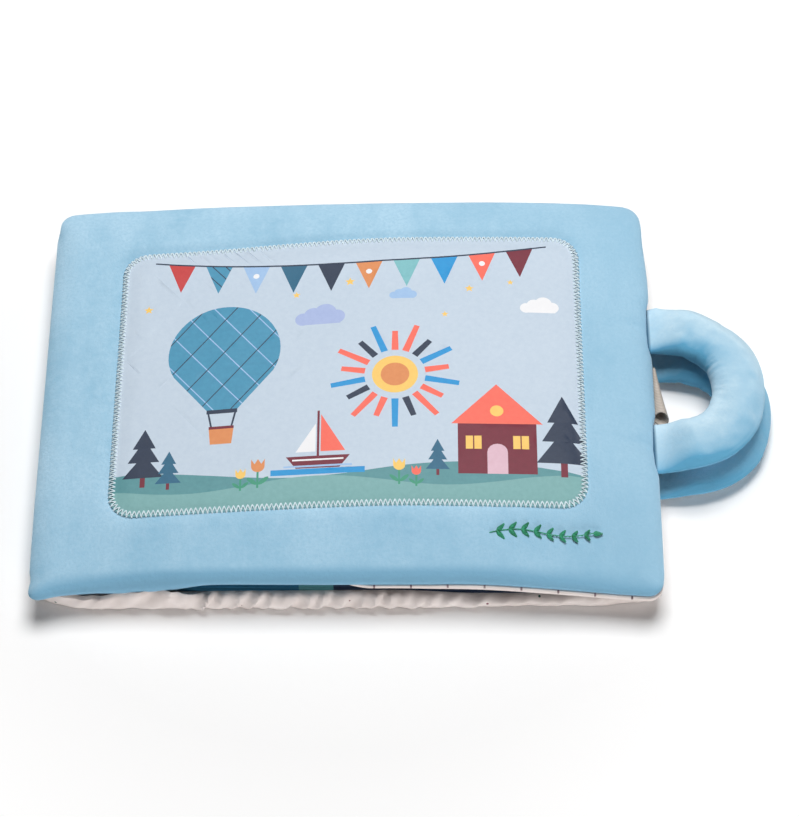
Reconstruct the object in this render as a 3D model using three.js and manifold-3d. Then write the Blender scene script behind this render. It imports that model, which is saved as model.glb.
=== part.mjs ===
// A closed cloth activity book: two padded velour covers and a spine, three soft printed leaves,
// two padded carrying handles and a ribbon loop. Lengths are millimetres.
// The origin is on the underside of the back cover, below the middle of the front cover.
// +X points to the opening edge and its handles, +Y to the top of the picture, +Z up.

import * as THREE from 'three';
import Module from 'manifold-3d';

const wasm = await Module();
wasm.setup();

// Driving sizes

const coverWidth = 290;
const coverDepth = 222;
const cornerRadius = 13;
const leastRadius = 3;
const clearance = 0.3;

const velourThickness = 1.6;
const liningThickness = 1;
const printThickness = 0.35;

// The front edge of the front cover draws in between its corners, and the rear edge bows out
const frontDrawIn = 6;
const rearBow = 3.5;
const backCoverSetBack = 6;

// Heights above the floor, in the puffed middle and in the pinched margin
const backDishHeight = 7;
const backRimHeight = 10;
const pagePuff = 2.8;
const pageMargin = 2 * printThickness + clearance;
const weltHeight = 2.3;
const velourRollInset = 12;
const weltRollInset = 3;
const backRollInset = 6;
const coverEdgeTop = 23;
const crownHeight = 6;
const crownPower = 2.6;
const crownEdgePower = 0.8;

// Margin zone, measured in from the outline, and the plain stretch beside the spine
const marginWidth = 16;
const marginBlend = 12;
const plainByHinge = 27;
const blendByHinge = 18;

const leafCount = 3;
const leafFrontSetBack = 7.5;
const leafEdgeSetBack = 6;
const firstLeafHinge = 11;
const leafHingeStep = 4;
const leafEndOverrun = 0.6;
const bindingClearance = 0.5;
const bindingLength = 176;
const bindingLip = 0.8;

const spineThickness = 4;
const spineGap = 0.5;
const spineLength = 192;
const spineTop = 23.4;
const spineLiningThickness = 0.6;
const spineCorner = 0.5;
const spineFoldHeight = 2.2;

const pictureWidth = 223;
const pictureDepth = 158;
const pictureRadius = 12;
const pictureX = 0.5;
const pictureY = 7;
const pictureThickness = 0.5;
const skinGap = 0.45;
const stitchWidth = 3.6;
const stitchHeight = 0.5;

const sprigFromRight = 79;
const sprigPlaceShare = 0.256;
const sprigLength = 48;
const sprigWidth = 2.4;
const sprigSwing = 3;
const sprigHeight = 0.5;

const squeakerRadius = 15;
const squeakerHeight = 5.5;
const squeakerWall = 0.8;
const squeakerX = 40;
const squeakerY = 10;
const reedRadius = 3.7;
const reedHeight = 1.1;
const filmThickness = 0.2;

const handleMiddleY = 2;
const handleSpread = 35.5;
const handleHalfWidth = 13;
const handleNose = 2.5;
const handleRootLength = 20;
const handleCoreStart = 11;
const frontHandle = { reach: 38, halfThickness: 6, rootHeight: 17.5, underside: 12, shiftY: 0 };
const backHandle = { reach: 43, halfThickness: 5.5, rootHeight: 4, underside: 0.4, shiftY: -2 };

const ribbonWidth = 26.5;
const ribbonMiddleY = 3.75;
const ribbonReach = 7.5;
const ribbonNose = 1.5;
const ribbonHalfLoop = 2.2;
const ribbonThickness = 0.7;
const ribbonHeight = 15.4;

// Counts of facets

const cornerSteps = 3;
const handleSteps = 22;
const handleSides = 10;
const roundSteps = 24;
const sprigSteps = 16;

// Colours, as the cloth looks in plain light

const velourBlue = 0xa9d0e8;
const seamBlue = 0x8fc0dc;
const cottonCream = 0xe4dbd8;
const waddingWhite = 0xf2f2ee;
const pictureGround = 0xd0dce8;
const stitchWhite = 0xe2edf0;
const sprigGreen = 0x2c8a66;
const ribbonBeige = 0xcdc3b9;
const filmClear = 0xdfe6ea;
const squeakerWhite = 0xf0efe9;
const reedGrey = 0x9a9d9f;
const printColours = [[0x26344b, 0x6f9fb0], [0x74a7ae, 0xdc8c55], [0x9fc3e6, 0x4c97b8]];
const fabricRoughness = 0.95;
const satinRoughness = 0.6;

// Small helpers

const clamp01 = (value) => Math.min(1, Math.max(0, value));
const mix = (from, to, share) => from + (to - from) * share;

function smooth(share) {
  const t = clamp01(share);
  return t * t * (3 - 2 * t);
}

const spread = (ring) => ring.reduce((sum, point) => sum + Math.abs(point.x) + Math.abs(point.y), 0);

// A closed body from rings of points. The two ends are closed with a fan, or joined to each other.
// Upper and lower surfaces are cut into triangles alike, so that neighbouring layers lie parallel.
function bodyFromRings(rings, joined = false) {
  const count = rings[0].length;
  const positions = rings.flat().flatMap((point) => [point.x, point.y, point.z]);
  const triangles = [];
  const spans = joined ? rings.length : rings.length - 1;
  for (let i = 0; i < spans; i++) {
    const here = i * count;
    const following = (i + 1) % rings.length;
    const next = following * count;
    const outward = spread(rings[following]) >= spread(rings[i]);
    for (let j = 0; j < count; j++) {
      const k = (j + 1) % count;
      if (outward) triangles.push(here + j, next + j, next + k, here + j, next + k, here + k);
      else triangles.push(here + j, next + j, here + k, next + j, next + k, here + k);
    }
  }
  const close = (ring, start, flip) => {
    const middle = new THREE.Vector3();
    ring.forEach((point) => middle.add(point));
    middle.divideScalar(ring.length);
    const tip = positions.length / 3;
    positions.push(middle.x, middle.y, middle.z);
    for (let j = 0; j < count; j++) {
      const k = (j + 1) % count;
      triangles.push(tip, start + (flip ? k : j), start + (flip ? j : k));
    }
  };
  if (!joined) {
    close(rings[0], 0, false);
    close(rings[rings.length - 1], (rings.length - 1) * count, true);
  }
  return facedOut(positions, triangles);
}

function facedOut(positions, triangles) {
  const corner = (index) => new THREE.Vector3().fromArray(positions, 3 * index);
  let volume = 0;
  for (let i = 0; i < triangles.length; i += 3) {
    volume += corner(triangles[i]).dot(corner(triangles[i + 1]).cross(corner(triangles[i + 2])));
  }
  if (volume < 0) triangles.reverse();
  const geometry = new THREE.BufferGeometry();
  geometry.setAttribute('position', new THREE.Float32BufferAttribute(positions, 3));
  geometry.setIndex(triangles);
  return geometry;
}

// Rounded rectangles, the plan of every layer

// sideX and sideY say which edge a point belongs to, and both are set on a corner
function roundedRing(halfX, halfY, radius, stationsX, stationsY) {
  const ring = [];
  const addCorner = (sideX, sideY, startAngle) => {
    for (let i = 0; i <= cornerSteps; i++) {
      const angle = startAngle + (i / cornerSteps) * (Math.PI / 2);
      const x = sideX * (halfX - radius) + radius * Math.cos(angle);
      const y = sideY * (halfY - radius) + radius * Math.sin(angle);
      ring.push({ x, y, sideX, sideY });
    }
  };
  stationsX.forEach((x) => ring.push({ x, y: -halfY, sideX: 0, sideY: -1 }));
  addCorner(1, -1, -Math.PI / 2);
  stationsY.forEach((y) => ring.push({ x: halfX, y, sideX: 1, sideY: 0 }));
  addCorner(1, 1, 0);
  stationsX.forEach((x) => ring.push({ x: -x, y: halfY, sideX: 0, sideY: 1 }));
  addCorner(-1, 1, Math.PI / 2);
  stationsY.forEach((y) => ring.push({ x: -halfX, y: -y, sideX: -1, sideY: 0 }));
  addCorner(-1, -1, Math.PI);
  return ring;
}

// Places along the long edges are shared by all layers, so that their facets lie parallel
const innerReach = coverWidth / 2 - plainByHinge - blendByHinge;
const stationShares = [-0.6, -0.2, 0.2, 0.6];
const longStations = [
  -innerReach - blendByHinge,
  -innerReach,
  ...stationShares.map((share) => share * innerReach),
  innerReach,
  innerReach + blendByHinge,
];
const shortStationShares = [-0.67, -0.22, 0.22, 0.67];
const shortStations = shortStationShares.map((share) => (share * coverDepth) / 2);
const stationRoomShare = 1.01;

const bump = (x) => Math.cos((Math.PI * x) / coverWidth) ** 2;

const sameEdges = { front: 0, rear: 0, left: 0, right: 0, drawIn: 0, bow: 0 };
const coverEdges = { ...sameEdges, drawIn: frontDrawIn, bow: rearBow };
const backEdges = { ...sameEdges, front: backCoverSetBack };

// A ring of one layer, at an offset in from the outline. The layer's own edge set-in fades out
// across the margin, so that further in all layers have the same plan.
function layerRing(edges, offset, heightAt) {
  const halfX = coverWidth / 2 - offset;
  const halfY = coverDepth / 2 - offset;
  const radius = Math.max(cornerRadius - offset, leastRadius);
  const roomX = stationRoomShare * longStations[longStations.length - 1];
  const roomY = stationRoomShare * shortStations[shortStations.length - 1];
  const shareX = Math.min(1, (halfX - radius) / roomX);
  const shareY = Math.min(1, (halfY - radius) / roomY);
  const alongX = longStations.map((x) => x * shareX);
  const alongY = shortStations.map((y) => y * shareY);
  const kept = clamp01(1 - offset / marginWidth);
  return roundedRing(halfX, halfY, radius, alongX, alongY).map((point) => {
    const setInX = point.sideX < 0 ? edges.left : edges.right;
    const drawn = edges.drawIn * bump(point.x);
    const bowed = edges.bow * bump(point.x);
    const setInY = point.sideY < 0 ? edges.front + drawn : edges.rear - bowed;
    const x = point.x - point.sideX * setInX * kept;
    const y = point.y - point.sideY * setInY * kept;
    return new THREE.Vector3(x, y, heightAt(point.x, point.y, offset));
  });
}

// Height of each layer

function marginShare(x, offset) {
  const fromEdge = clamp01((marginWidth + marginBlend - offset) / marginBlend);
  const fromHinge = clamp01((x + innerReach + blendByHinge) / blendByHinge);
  return fromEdge * fromHinge;
}

const backInner = (x, y, offset) => mix(backDishHeight, backRimHeight, marginShare(x, offset));
const pageHeight = (x, offset) => mix(pagePuff, pageMargin, marginShare(x, offset));

// Underside of the leaf at a level, counted up from the back cover
const levelBase = (level) => (x, y, offset) =>
  backInner(x, y, offset) + clearance + level * (pageHeight(x, offset) + clearance);
const levelTop = (level) => (x, y, offset) => levelBase(level)(x, y, offset) + pageHeight(x, offset);

const frontInner = levelBase(leafCount);
const seamHeight = (x, y, offset) => frontInner(x, y, offset) + weltHeight;

const pillow = (share) => Math.max(0, 1 - Math.abs(share) ** crownPower) ** crownEdgePower;

function coverTop(x, y) {
  const across = pillow((2 * x) / coverWidth);
  const along = pillow((2 * y) / coverDepth);
  return coverEdgeTop + crownHeight * across * along;
}

const raised = (heightAt, rise) => (x, y, offset) => heightAt(x, y, offset) + rise;

// Layers

// A thin or thick layer between two heights, with a step halfway up its edge where it has a rim
function pad({ edges, low, high, lowOffsets, highOffsets, rimOffset = null }) {
  const rings = [...highOffsets].reverse().map((offset) => layerRing(edges, offset, high));
  if (rimOffset !== null) {
    const half = (x, y, offset) => (low(x, y, offset) + high(x, y, offset)) / 2;
    rings.push(layerRing(edges, rimOffset, half));
  }
  rings.push(...lowOffsets.map((offset) => layerRing(edges, offset, low)));
  return bodyFromRings(rings);
}

// The section of a rolled edge, from its lip to its crest, with the way in through the cloth
function rollSection({ insetShares, riseShares, inset, rise }) {
  const points = insetShares.map((share, i) => new THREE.Vector2(share * inset, riseShares[i] * rise));
  return points.map((point, i) => {
    const before = points[Math.max(i - 1, 0)];
    const after = points[Math.min(i + 1, points.length - 1)];
    const along = after.clone().sub(before).normalize();
    return { offset: point.x, riseShare: riseShares[i], inward: along.y, sunk: along.x };
  });
}

// A skin of one thickness over a rolled edge: lip and crest are its outer surface
function skin({ edges, lip, crest, roll, offsets, innerOffsets, thickness, facing }) {
  const section = rollSection(roll);
  const wall = (deep) => section.map(({ offset, riseShare, inward, sunk }) => {
    const heightAt = (x, y) => {
      const low = lip(x, y, offset);
      const shift = facing * sunk * deep;
      return low + (crest(x, y, offset) - low) * riseShare - shift;
    };
    return layerRing(edges, offset + inward * deep, heightAt);
  });
  const cap = (list, deep) =>
    list.map((offset) => layerRing(edges, offset, raised(crest, -facing * deep)));
  const outer = [...wall(0), ...cap(offsets, 0)].reverse();
  const inner = [...wall(thickness), ...cap(innerOffsets, thickness)];
  return bodyFromRings([...outer, ...inner]);
}

const marginOffsets = [marginWidth, marginWidth + marginBlend / 2, marginWidth + marginBlend];
const crownShares = [0.18, 0.29, 0.45, 0.68];
const coarseCrownShares = [0.29, 0.68];
const offsetAt = (share) => (share * coverDepth) / 2;
const crownOffsets = crownShares.map(offsetAt);
const coarseCrownOffsets = coarseCrownShares.map(offsetAt);

const softRoll = {
  insetShares: [0.1, 0.01, 0, 0.06, 0.22, 0.5, 1],
  riseShares: [0, 0.2, 0.38, 0.62, 0.81, 0.94, 1],
  inset: velourRollInset,
  rise: coverEdgeTop - backRimHeight - leafCount * pageMargin - weltHeight,
};
const frontCoverVelour = skin({
  edges: coverEdges,
  lip: raised(seamHeight, clearance),
  crest: coverTop,
  roll: softRoll,
  offsets: crownOffsets,
  innerOffsets: coarseCrownOffsets,
  thickness: velourThickness,
  facing: 1,
});

const weltRoll = {
  insetShares: [0.4, 0, 0.3, 1],
  riseShares: [0, 0.45, 0.85, 1],
  inset: weltRollInset,
  rise: weltHeight,
};
const frontCoverLining = skin({
  edges: coverEdges,
  lip: seamHeight,
  crest: frontInner,
  roll: weltRoll,
  offsets: marginOffsets,
  innerOffsets: marginOffsets,
  thickness: liningThickness,
  facing: -1,
});

const backRoll = {
  insetShares: [0.1, 0, 0.02, 0.13, 0.42, 1],
  riseShares: [0, 0.3, 0.6, 0.83, 0.96, 1],
  inset: backRollInset,
  rise: backRimHeight - velourThickness,
};
const backCoverLining = skin({
  edges: backEdges,
  lip: () => velourThickness + clearance,
  crest: backInner,
  roll: backRoll,
  offsets: marginOffsets,
  innerOffsets: marginOffsets,
  thickness: liningThickness,
  facing: 1,
});

const velourLipInset = 0.9;
const backCoverVelour = pad({
  edges: backEdges,
  low: () => 0,
  high: () => velourThickness,
  lowOffsets: [velourLipInset, marginWidth],
  highOffsets: [velourLipInset, marginWidth],
  rimOffset: 0,
});

// Wadding fills each cover and stops short of its seams
const waddingInset = 4.6;
const waddingShoulder = 8;
const backWaddingInset = 2.6;
const backWaddingShoulder = 5;
const backCoverWadding = pad({
  edges: backEdges,
  low: () => velourThickness + clearance,
  high: raised(backInner, -liningThickness - clearance),
  lowOffsets: [backWaddingShoulder],
  highOffsets: [backWaddingShoulder + clearance, ...marginOffsets],
  rimOffset: backWaddingInset,
});

const waddingLow = raised(frontInner, liningThickness + clearance);
const waddingHigh = raised(coverTop, -velourThickness - clearance);
const fullWadding = pad({
  edges: coverEdges,
  low: waddingLow,
  high: waddingHigh,
  lowOffsets: [waddingShoulder, ...marginOffsets],
  highOffsets: [softRoll.inset, ...coarseCrownOffsets],
  rimOffset: waddingInset,
});

// The squeaker lies on the lining, in a pocket cut up into the wadding

function toSolid(geometry) {
  return new wasm.Manifold(new wasm.Mesh({
    numProp: 3,
    vertProperties: Float32Array.from(geometry.attributes.position.array),
    triVerts: Uint32Array.from(geometry.index.array),
  }));
}

function fromSolid(solid) {
  const mesh = solid.getMesh();
  const geometry = new THREE.BufferGeometry();
  geometry.setAttribute('position', new THREE.BufferAttribute(mesh.vertProperties, 3));
  geometry.setIndex(new THREE.BufferAttribute(mesh.triVerts, 1));
  return geometry;
}

// Rings of a round body, from a section given as radius and height
function turned(section) {
  return section.map(([radius, height]) => {
    const ring = [];
    for (let i = 0; i < roundSteps; i++) {
      const angle = (2 * Math.PI * i) / roundSteps;
      ring.push(new THREE.Vector3(radius * Math.cos(angle), radius * Math.sin(angle), height));
    }
    return ring;
  });
}

const liningTop = backDishHeight + clearance + leafCount * (pagePuff + clearance) + liningThickness;
const squeakerBase = liningTop + clearance;
const squeakerTop = squeakerBase + squeakerHeight;
const pocketRadius = squeakerRadius + clearance;
const pocket = bodyFromRings(turned([
  [pocketRadius, squeakerTop + clearance],
  [pocketRadius, squeakerBase - liningThickness],
]));
pocket.translate(squeakerX, squeakerY, 0);
const frontCoverWadding = fromSolid(toSolid(fullWadding).subtract(toSolid(pocket)));

const reedSeat = reedRadius + clearance;
const squeakerShoulderShare = 0.75;
const shoulderHeight = mix(squeakerBase, squeakerTop, squeakerShoulderShare);
const squeakerBulb = bodyFromRings(turned([
  [reedSeat, squeakerBase],
  [reedSeat, squeakerBase + squeakerWall],
  [squeakerRadius - squeakerWall, squeakerBase + squeakerWall],
  [squeakerRadius - squeakerWall, shoulderHeight - squeakerWall],
  [squeakerRadius / 2, squeakerTop - squeakerWall],
  [squeakerWall, squeakerTop - squeakerWall],
  [squeakerWall, squeakerTop],
  [squeakerRadius / 2, squeakerTop],
  [squeakerRadius, shoulderHeight],
  [squeakerRadius, squeakerBase],
]), true);
const squeakerReed = bodyFromRings(turned([
  [reedRadius, squeakerBase + reedHeight],
  [reedRadius, squeakerBase],
]));

// Leaves: two printed panels over wadding, sewn flat along their margins and hinged on the left

const leafInset = (level) => firstLeafHinge - level * leafHingeStep;
const leafHinges = [];
for (let level = 0; level < leafCount; level++) {
  leafHinges.push({
    x: -coverWidth / 2 + leafInset(level),
    z: backDishHeight + clearance + level * (pagePuff + clearance) + pagePuff / 2,
  });
}

function leafEdges(level) {
  return {
    ...sameEdges,
    front: leafFrontSetBack,
    rear: leafEdgeSetBack,
    right: leafEdgeSetBack,
    left: leafInset(level) - leafEndOverrun,
  };
}

function leafPrint(level, top) {
  const low = top ? raised(levelTop(level), -printThickness) : levelBase(level);
  const high = raised(low, printThickness);
  const offsets = [0, ...marginOffsets];
  return pad({ edges: leafEdges(level), low, high, lowOffsets: offsets, highOffsets: offsets });
}

const leafFillGap = printThickness + clearance;
const filmRoom = filmThickness + clearance;
const fillOffsets = marginOffsets.slice(1);
function leafWadding(level, room) {
  const low = raised(levelBase(level), leafFillGap);
  const high = raised(levelTop(level), -leafFillGap - room);
  const offsets = room > 0 ? fillOffsets.slice(1) : fillOffsets;
  return pad({ edges: sameEdges, low, high, lowOffsets: offsets, highOffsets: offsets });
}

function leafFilm(level) {
  const high = raised(levelTop(level), -leafFillGap);
  const low = raised(high, -filmThickness);
  const offsets = fillOffsets.slice(1);
  return pad({ edges: sameEdges, low, high, lowOffsets: offsets, highOffsets: offsets });
}

// Straight pieces beside the spine: a section in X and Z, run along Y

function runAlongY(outline, length, middleY, hole = null) {
  const shape = new THREE.Shape(outline.map(([x, z]) => new THREE.Vector2(x, z)));
  if (hole) shape.holes.push(new THREE.Path(hole.map(([x, z]) => new THREE.Vector2(x, z))));
  const geometry = new THREE.ExtrudeGeometry(shape, { depth: length, bevelEnabled: false });
  geometry.rotateX(Math.PI / 2);
  geometry.translate(0, middleY + length / 2, 0);
  return geometry;
}

// The binding tape carries the leaves: its slope runs just below their hinge lines
function bindingSection() {
  const first = leafHinges[0];
  const last = leafHinges[leafCount - 1];
  const slope = new THREE.Vector2(last.x - first.x, last.z - first.z).normalize();
  const below = pagePuff / 2 + bindingClearance;
  const onSlope = (hinge) => new THREE.Vector2(hinge.x - slope.y * below, hinge.z + slope.x * below);
  const base = backDishHeight + clearance;
  const low = onSlope(first);
  const high = onSlope(last);
  const toe = low.x + ((base - low.y) / slope.y) * slope.x;
  const back = high.x - bindingLip;
  return [[back, base], [toe, base], [high.x, high.y], [back, high.y]];
}

// A strip of the spine with trimmed corners, between two distances in from its outer face
const spineOuter = -coverWidth / 2 - spineGap - spineThickness;
function spineStrip(from, to, low, high) {
  const left = spineOuter + from;
  const right = spineOuter + to;
  const trim = Math.min(spineCorner, (to - from) / 3);
  return runAlongY([
    [left + trim, low], [right - trim, low], [right, low + trim], [right, high - trim],
    [right - trim, high], [left + trim, high], [left, high - trim], [left, low + trim],
  ], spineLength, 0);
}

const spineLiningFrom = spineThickness - spineLiningThickness;
const spineVelour = spineStrip(0, velourThickness, spineFoldHeight - spineThickness / 4, spineTop);
const spineWadding = spineStrip(
  velourThickness + clearance,
  spineLiningFrom - clearance,
  spineFoldHeight,
  spineTop - clearance,
);
const spineLining = spineStrip(spineLiningFrom, spineThickness, spineFoldHeight, spineTop - clearance);

// Picture panel, its stitched border and the small embroidered sprig lie on the crown

const pictureStationShares = [-0.75, -0.45, -0.15, 0.15, 0.45, 0.75];
function pictureRing(inset, heightAt) {
  const halfX = pictureWidth / 2 - inset;
  const halfY = pictureDepth / 2 - inset;
  const radius = Math.max(pictureRadius - inset, leastRadius);
  const alongX = pictureStationShares.map((share) => share * (halfX - radius));
  const alongY = pictureStationShares.map((share) => share * (halfY - radius));
  return roundedRing(halfX, halfY, radius, alongX, alongY).map(({ x, y }) => {
    const placedX = x + pictureX;
    const placedY = y + pictureY;
    return new THREE.Vector3(placedX, placedY, heightAt(placedX, placedY));
  });
}

const pictureInsetShares = [0, 0.3, 0.7];
const pictureInsets = pictureInsetShares.map((share) => (share * pictureDepth) / 2);
const pictureLow = raised(coverTop, skinGap);
const pictureHigh = raised(pictureLow, pictureThickness);
const picturePanel = bodyFromRings([
  ...[...pictureInsets].reverse().map((inset) => pictureRing(inset, pictureHigh)),
  ...pictureInsets.map((inset) => pictureRing(inset, pictureLow)),
]);

const stitchLow = raised(pictureHigh, clearance);
const stitchHigh = raised(stitchLow, stitchHeight);
const panelStitching = bodyFromRings([
  pictureRing(0, stitchHigh),
  pictureRing(0, stitchLow),
  pictureRing(stitchWidth, stitchLow),
  pictureRing(stitchWidth, stitchHigh),
], true);

// Sweep a flat band with a rectangular section along a wavy line on the crown
function sprigBand() {
  const low = raised(coverTop, skinGap);
  const startX = coverWidth / 2 - sprigFromRight;
  const middleY = mix(pictureY - pictureDepth / 2, -coverDepth / 2, sprigPlaceShare);
  const rings = [];
  for (let i = 0; i <= sprigSteps; i++) {
    const share = i / sprigSteps;
    const x = startX + share * sprigLength;
    const y = middleY + sprigSwing * Math.sin(2 * Math.PI * share);
    const taper = mix(sprigWidth / 3, sprigWidth, Math.sin(Math.PI * share));
    const corner = (side, rise) => {
      const cornerY = y + (side * taper) / 2;
      return new THREE.Vector3(x, cornerY, low(x, cornerY, 0) + rise);
    };
    rings.push([corner(-1, 0), corner(1, 0), corner(1, sprigHeight), corner(-1, sprigHeight)]);
  }
  return bodyFromRings(rings);
}

// Handles: a flattened tube along half an ellipse, drawn thin where it is sewn in

const handleHingeX = coverWidth / 2 + clearance + handleNose;

class HandlePath extends THREE.Curve {
  constructor(handle) {
    super();
    this.handle = handle;
  }

  getPoint(share, target = new THREE.Vector3()) {
    const { reach, shiftY } = this.handle;
    const angle = Math.PI * (0.5 - share);
    const out = Math.cos(angle);
    const x = handleHingeX + reach * out;
    const y = handleMiddleY + handleSpread * Math.sin(angle) + shiftY * out;
    return target.set(x, y, 0);
  }
}

// The handle hangs from its roots and its outer end lies lower, on its flat underside
function handleHeight(handle, centre, halfHeight) {
  const rootUnderside = handle.rootHeight - handleNose;
  const out = (centre.x - handleHingeX) / handle.reach;
  return mix(rootUnderside, handle.underside, smooth(out)) + halfHeight;
}

// Half thickness at a distance along the tube from the nearer root
function handleHalfHeight(handle, distance) {
  return mix(handleNose, handle.halfThickness, smooth(distance / handleRootLength));
}

const noseInsetShare = 0.84;
const noseHeightShare = 0.5;
const sleeveInnerShare = 0.35;

function handleRing(centre, across, halfWidth, halfHeight) {
  const ring = [];
  for (let i = 0; i < handleSides; i++) {
    const angle = (2 * Math.PI * i) / handleSides;
    const point = centre.clone().addScaledVector(across, halfWidth * Math.cos(angle));
    point.z += halfHeight * Math.sin(angle);
    ring.push(point);
  }
  return ring;
}

// Rings of a handle, thinned all round by an amount, between two distances along it
function handleRings(handle, thinner, start) {
  const path = new HandlePath(handle);
  const length = path.getLength();
  const rings = [];
  const halfAt = (full) => Math.max(full - thinner, full * (thinner > 0 ? sleeveInnerShare : 1));
  const endRing = (share, side) => {
    const centre = path.getPoint(share);
    centre.x -= noseInsetShare * handleNose;
    centre.z = handle.rootHeight;
    const across = new THREE.Vector3(0, side, 0);
    return handleRing(centre, across, halfAt(handleHalfWidth), halfAt(noseHeightShare * handleNose));
  };
  if (start === 0) rings.push(endRing(0, 1));
  for (let i = 0; i <= handleSteps; i++) {
    const distance = mix(start, length - start, i / handleSteps);
    const share = distance / length;
    const centre = path.getPointAt(share);
    const along = path.getTangentAt(share);
    const across = new THREE.Vector3(-along.y, along.x, 0).normalize();
    const nearest = Math.min(distance, length - distance);
    const halfHeight = handleHalfHeight(handle, nearest);
    centre.z = handleHeight(handle, centre, halfHeight);
    rings.push(handleRing(centre, across, halfAt(handleHalfWidth), halfAt(halfHeight)));
  }
  if (start === 0) rings.push(endRing(1, -1));
  return rings;
}

function handleSleeve(handle) {
  const outer = handleRings(handle, 0, 0);
  const inner = handleRings(handle, velourThickness, 0);
  return bodyFromRings([...outer, ...inner.reverse()], true);
}

const handleCore = (handle) =>
  bodyFromRings(handleRings(handle, velourThickness + clearance, handleCoreStart));

// Ribbon loop: a folded tape with a narrow root and an open eye

function ribbonLoop() {
  const hingeX = coverWidth / 2 + clearance + ribbonNose;
  const outline = (thinner) => {
    const nose = ribbonNose - thinner;
    const half = ribbonHalfLoop - thinner;
    const end = ribbonReach - thinner;
    const tip = end - half;
    return [
      [hingeX - nose, ribbonHeight], [hingeX, ribbonHeight - nose],
      [hingeX + tip, ribbonHeight - half], [hingeX + end, ribbonHeight],
      [hingeX + tip, ribbonHeight + half], [hingeX, ribbonHeight + nose],
    ];
  };
  return runAlongY(outline(0), ribbonWidth, ribbonMiddleY, outline(ribbonThickness).reverse());
}

// The book

const book = new THREE.Group();

function add(name, geometry, color, roughness = fabricRoughness, group = book) {
  const material = new THREE.MeshStandardMaterial({ color, roughness, metalness: 0 });
  const mesh = new THREE.Mesh(geometry, material);
  mesh.name = name;
  group.add(mesh);
  return mesh;
}

add('back_cover_velour', backCoverVelour, velourBlue);
add('back_cover_wadding', backCoverWadding, waddingWhite);
add('back_cover_lining', backCoverLining, cottonCream);
add('page_binding', runAlongY(bindingSection(), bindingLength, 0), cottonCream);

add('spine_velour', spineVelour, seamBlue);
add('spine_wadding', spineWadding, waddingWhite);
add('spine_lining', spineLining, cottonCream);

add('front_cover_lining', frontCoverLining, cottonCream);
add('front_cover_wadding', frontCoverWadding, waddingWhite);
add('front_cover_velour', frontCoverVelour, velourBlue);
add('picture_panel', picturePanel, pictureGround, satinRoughness);
add('panel_stitching', panelStitching, stitchWhite, satinRoughness);
add('sprig_embroidery', sprigBand(), sprigGreen, satinRoughness);

const squeaker = new THREE.Group();
squeaker.position.set(squeakerX, squeakerY, 0);
add('squeaker_bulb', squeakerBulb, squeakerWhite, satinRoughness, squeaker);
add('squeaker_reed', squeakerReed, reedGrey, satinRoughness, squeaker);
book.add(squeaker);

for (let level = 0; level < leafCount; level++) {
  const number = leafCount - level;
  const [frontColour, backColour] = printColours[level];
  const holdsFilm = number === 1;
  add(`leaf_${number}_front_print`, leafPrint(level, true), frontColour);
  add(`leaf_${number}_wadding`, leafWadding(level, holdsFilm ? filmRoom : 0), waddingWhite);
  add(`leaf_${number}_back_print`, leafPrint(level, false), backColour);
  if (holdsFilm) add(`leaf_${number}_crinkle_film`, leafFilm(level), filmClear, satinRoughness);
}

for (const [name, handle] of [['front_handle', frontHandle], ['back_handle', backHandle]]) {
  add(`${name}_sleeve`, handleSleeve(handle), velourBlue);
  add(`${name}_core`, handleCore(handle), waddingWhite);
}
add('ribbon_loop', ribbonLoop(), ribbonBeige, satinRoughness);

export default book;
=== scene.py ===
"""Looks of a closed cloth activity book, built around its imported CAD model.

Shapes are worked out in millimetres in the CAD frame and stored in metres.
"""

import math

import bpy
import numpy as np
from mathutils import Matrix, Vector, noise
from mathutils.geometry import delaunay_2d_cdt
from mathutils.kdtree import KDTree


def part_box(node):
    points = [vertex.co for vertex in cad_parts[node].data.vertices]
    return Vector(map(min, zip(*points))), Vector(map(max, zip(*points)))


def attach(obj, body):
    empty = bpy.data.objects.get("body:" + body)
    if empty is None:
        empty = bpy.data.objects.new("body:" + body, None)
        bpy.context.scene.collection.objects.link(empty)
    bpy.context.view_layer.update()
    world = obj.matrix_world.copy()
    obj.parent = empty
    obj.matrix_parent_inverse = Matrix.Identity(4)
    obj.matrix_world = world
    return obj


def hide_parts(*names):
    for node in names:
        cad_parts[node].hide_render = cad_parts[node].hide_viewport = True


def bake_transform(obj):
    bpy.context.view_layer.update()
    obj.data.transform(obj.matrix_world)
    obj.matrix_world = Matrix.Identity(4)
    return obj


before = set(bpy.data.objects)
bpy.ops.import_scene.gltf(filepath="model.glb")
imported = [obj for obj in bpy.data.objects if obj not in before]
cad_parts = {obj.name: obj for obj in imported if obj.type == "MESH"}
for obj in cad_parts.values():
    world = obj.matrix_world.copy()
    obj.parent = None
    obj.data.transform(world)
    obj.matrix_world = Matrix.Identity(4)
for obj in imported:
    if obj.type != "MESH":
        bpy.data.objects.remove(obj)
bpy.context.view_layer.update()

MM = 0.001


def box_mm(node):
    """Lowest and highest corner of a CAD node, in millimetres."""
    low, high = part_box(node)
    return np.array(low) / MM, np.array(high) / MM


# Sizes of the covers, from the frame

velour_low, velour_high = box_mm("front_cover_velour")
picture_low, picture_high = box_mm("picture_panel")
HALF_X = velour_high[0]
HALF_Y = -velour_low[1]
REAR_STANDS_OUT = 1.2
REAR_BOW = velour_high[1] - HALF_Y + REAR_STANDS_OUT
REAR_BOW_POWERS = (4, 8)
REAR_BOW_ROUNDING = 0.8
BACK_STANDS_OUT = 0.9
BACK_SET_BACK = HALF_Y + box_mm("back_cover_lining")[0][1] - BACK_STANDS_OUT
CORNER_RADIUS = 6.5
LEAST_RADIUS = 2.5

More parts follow.
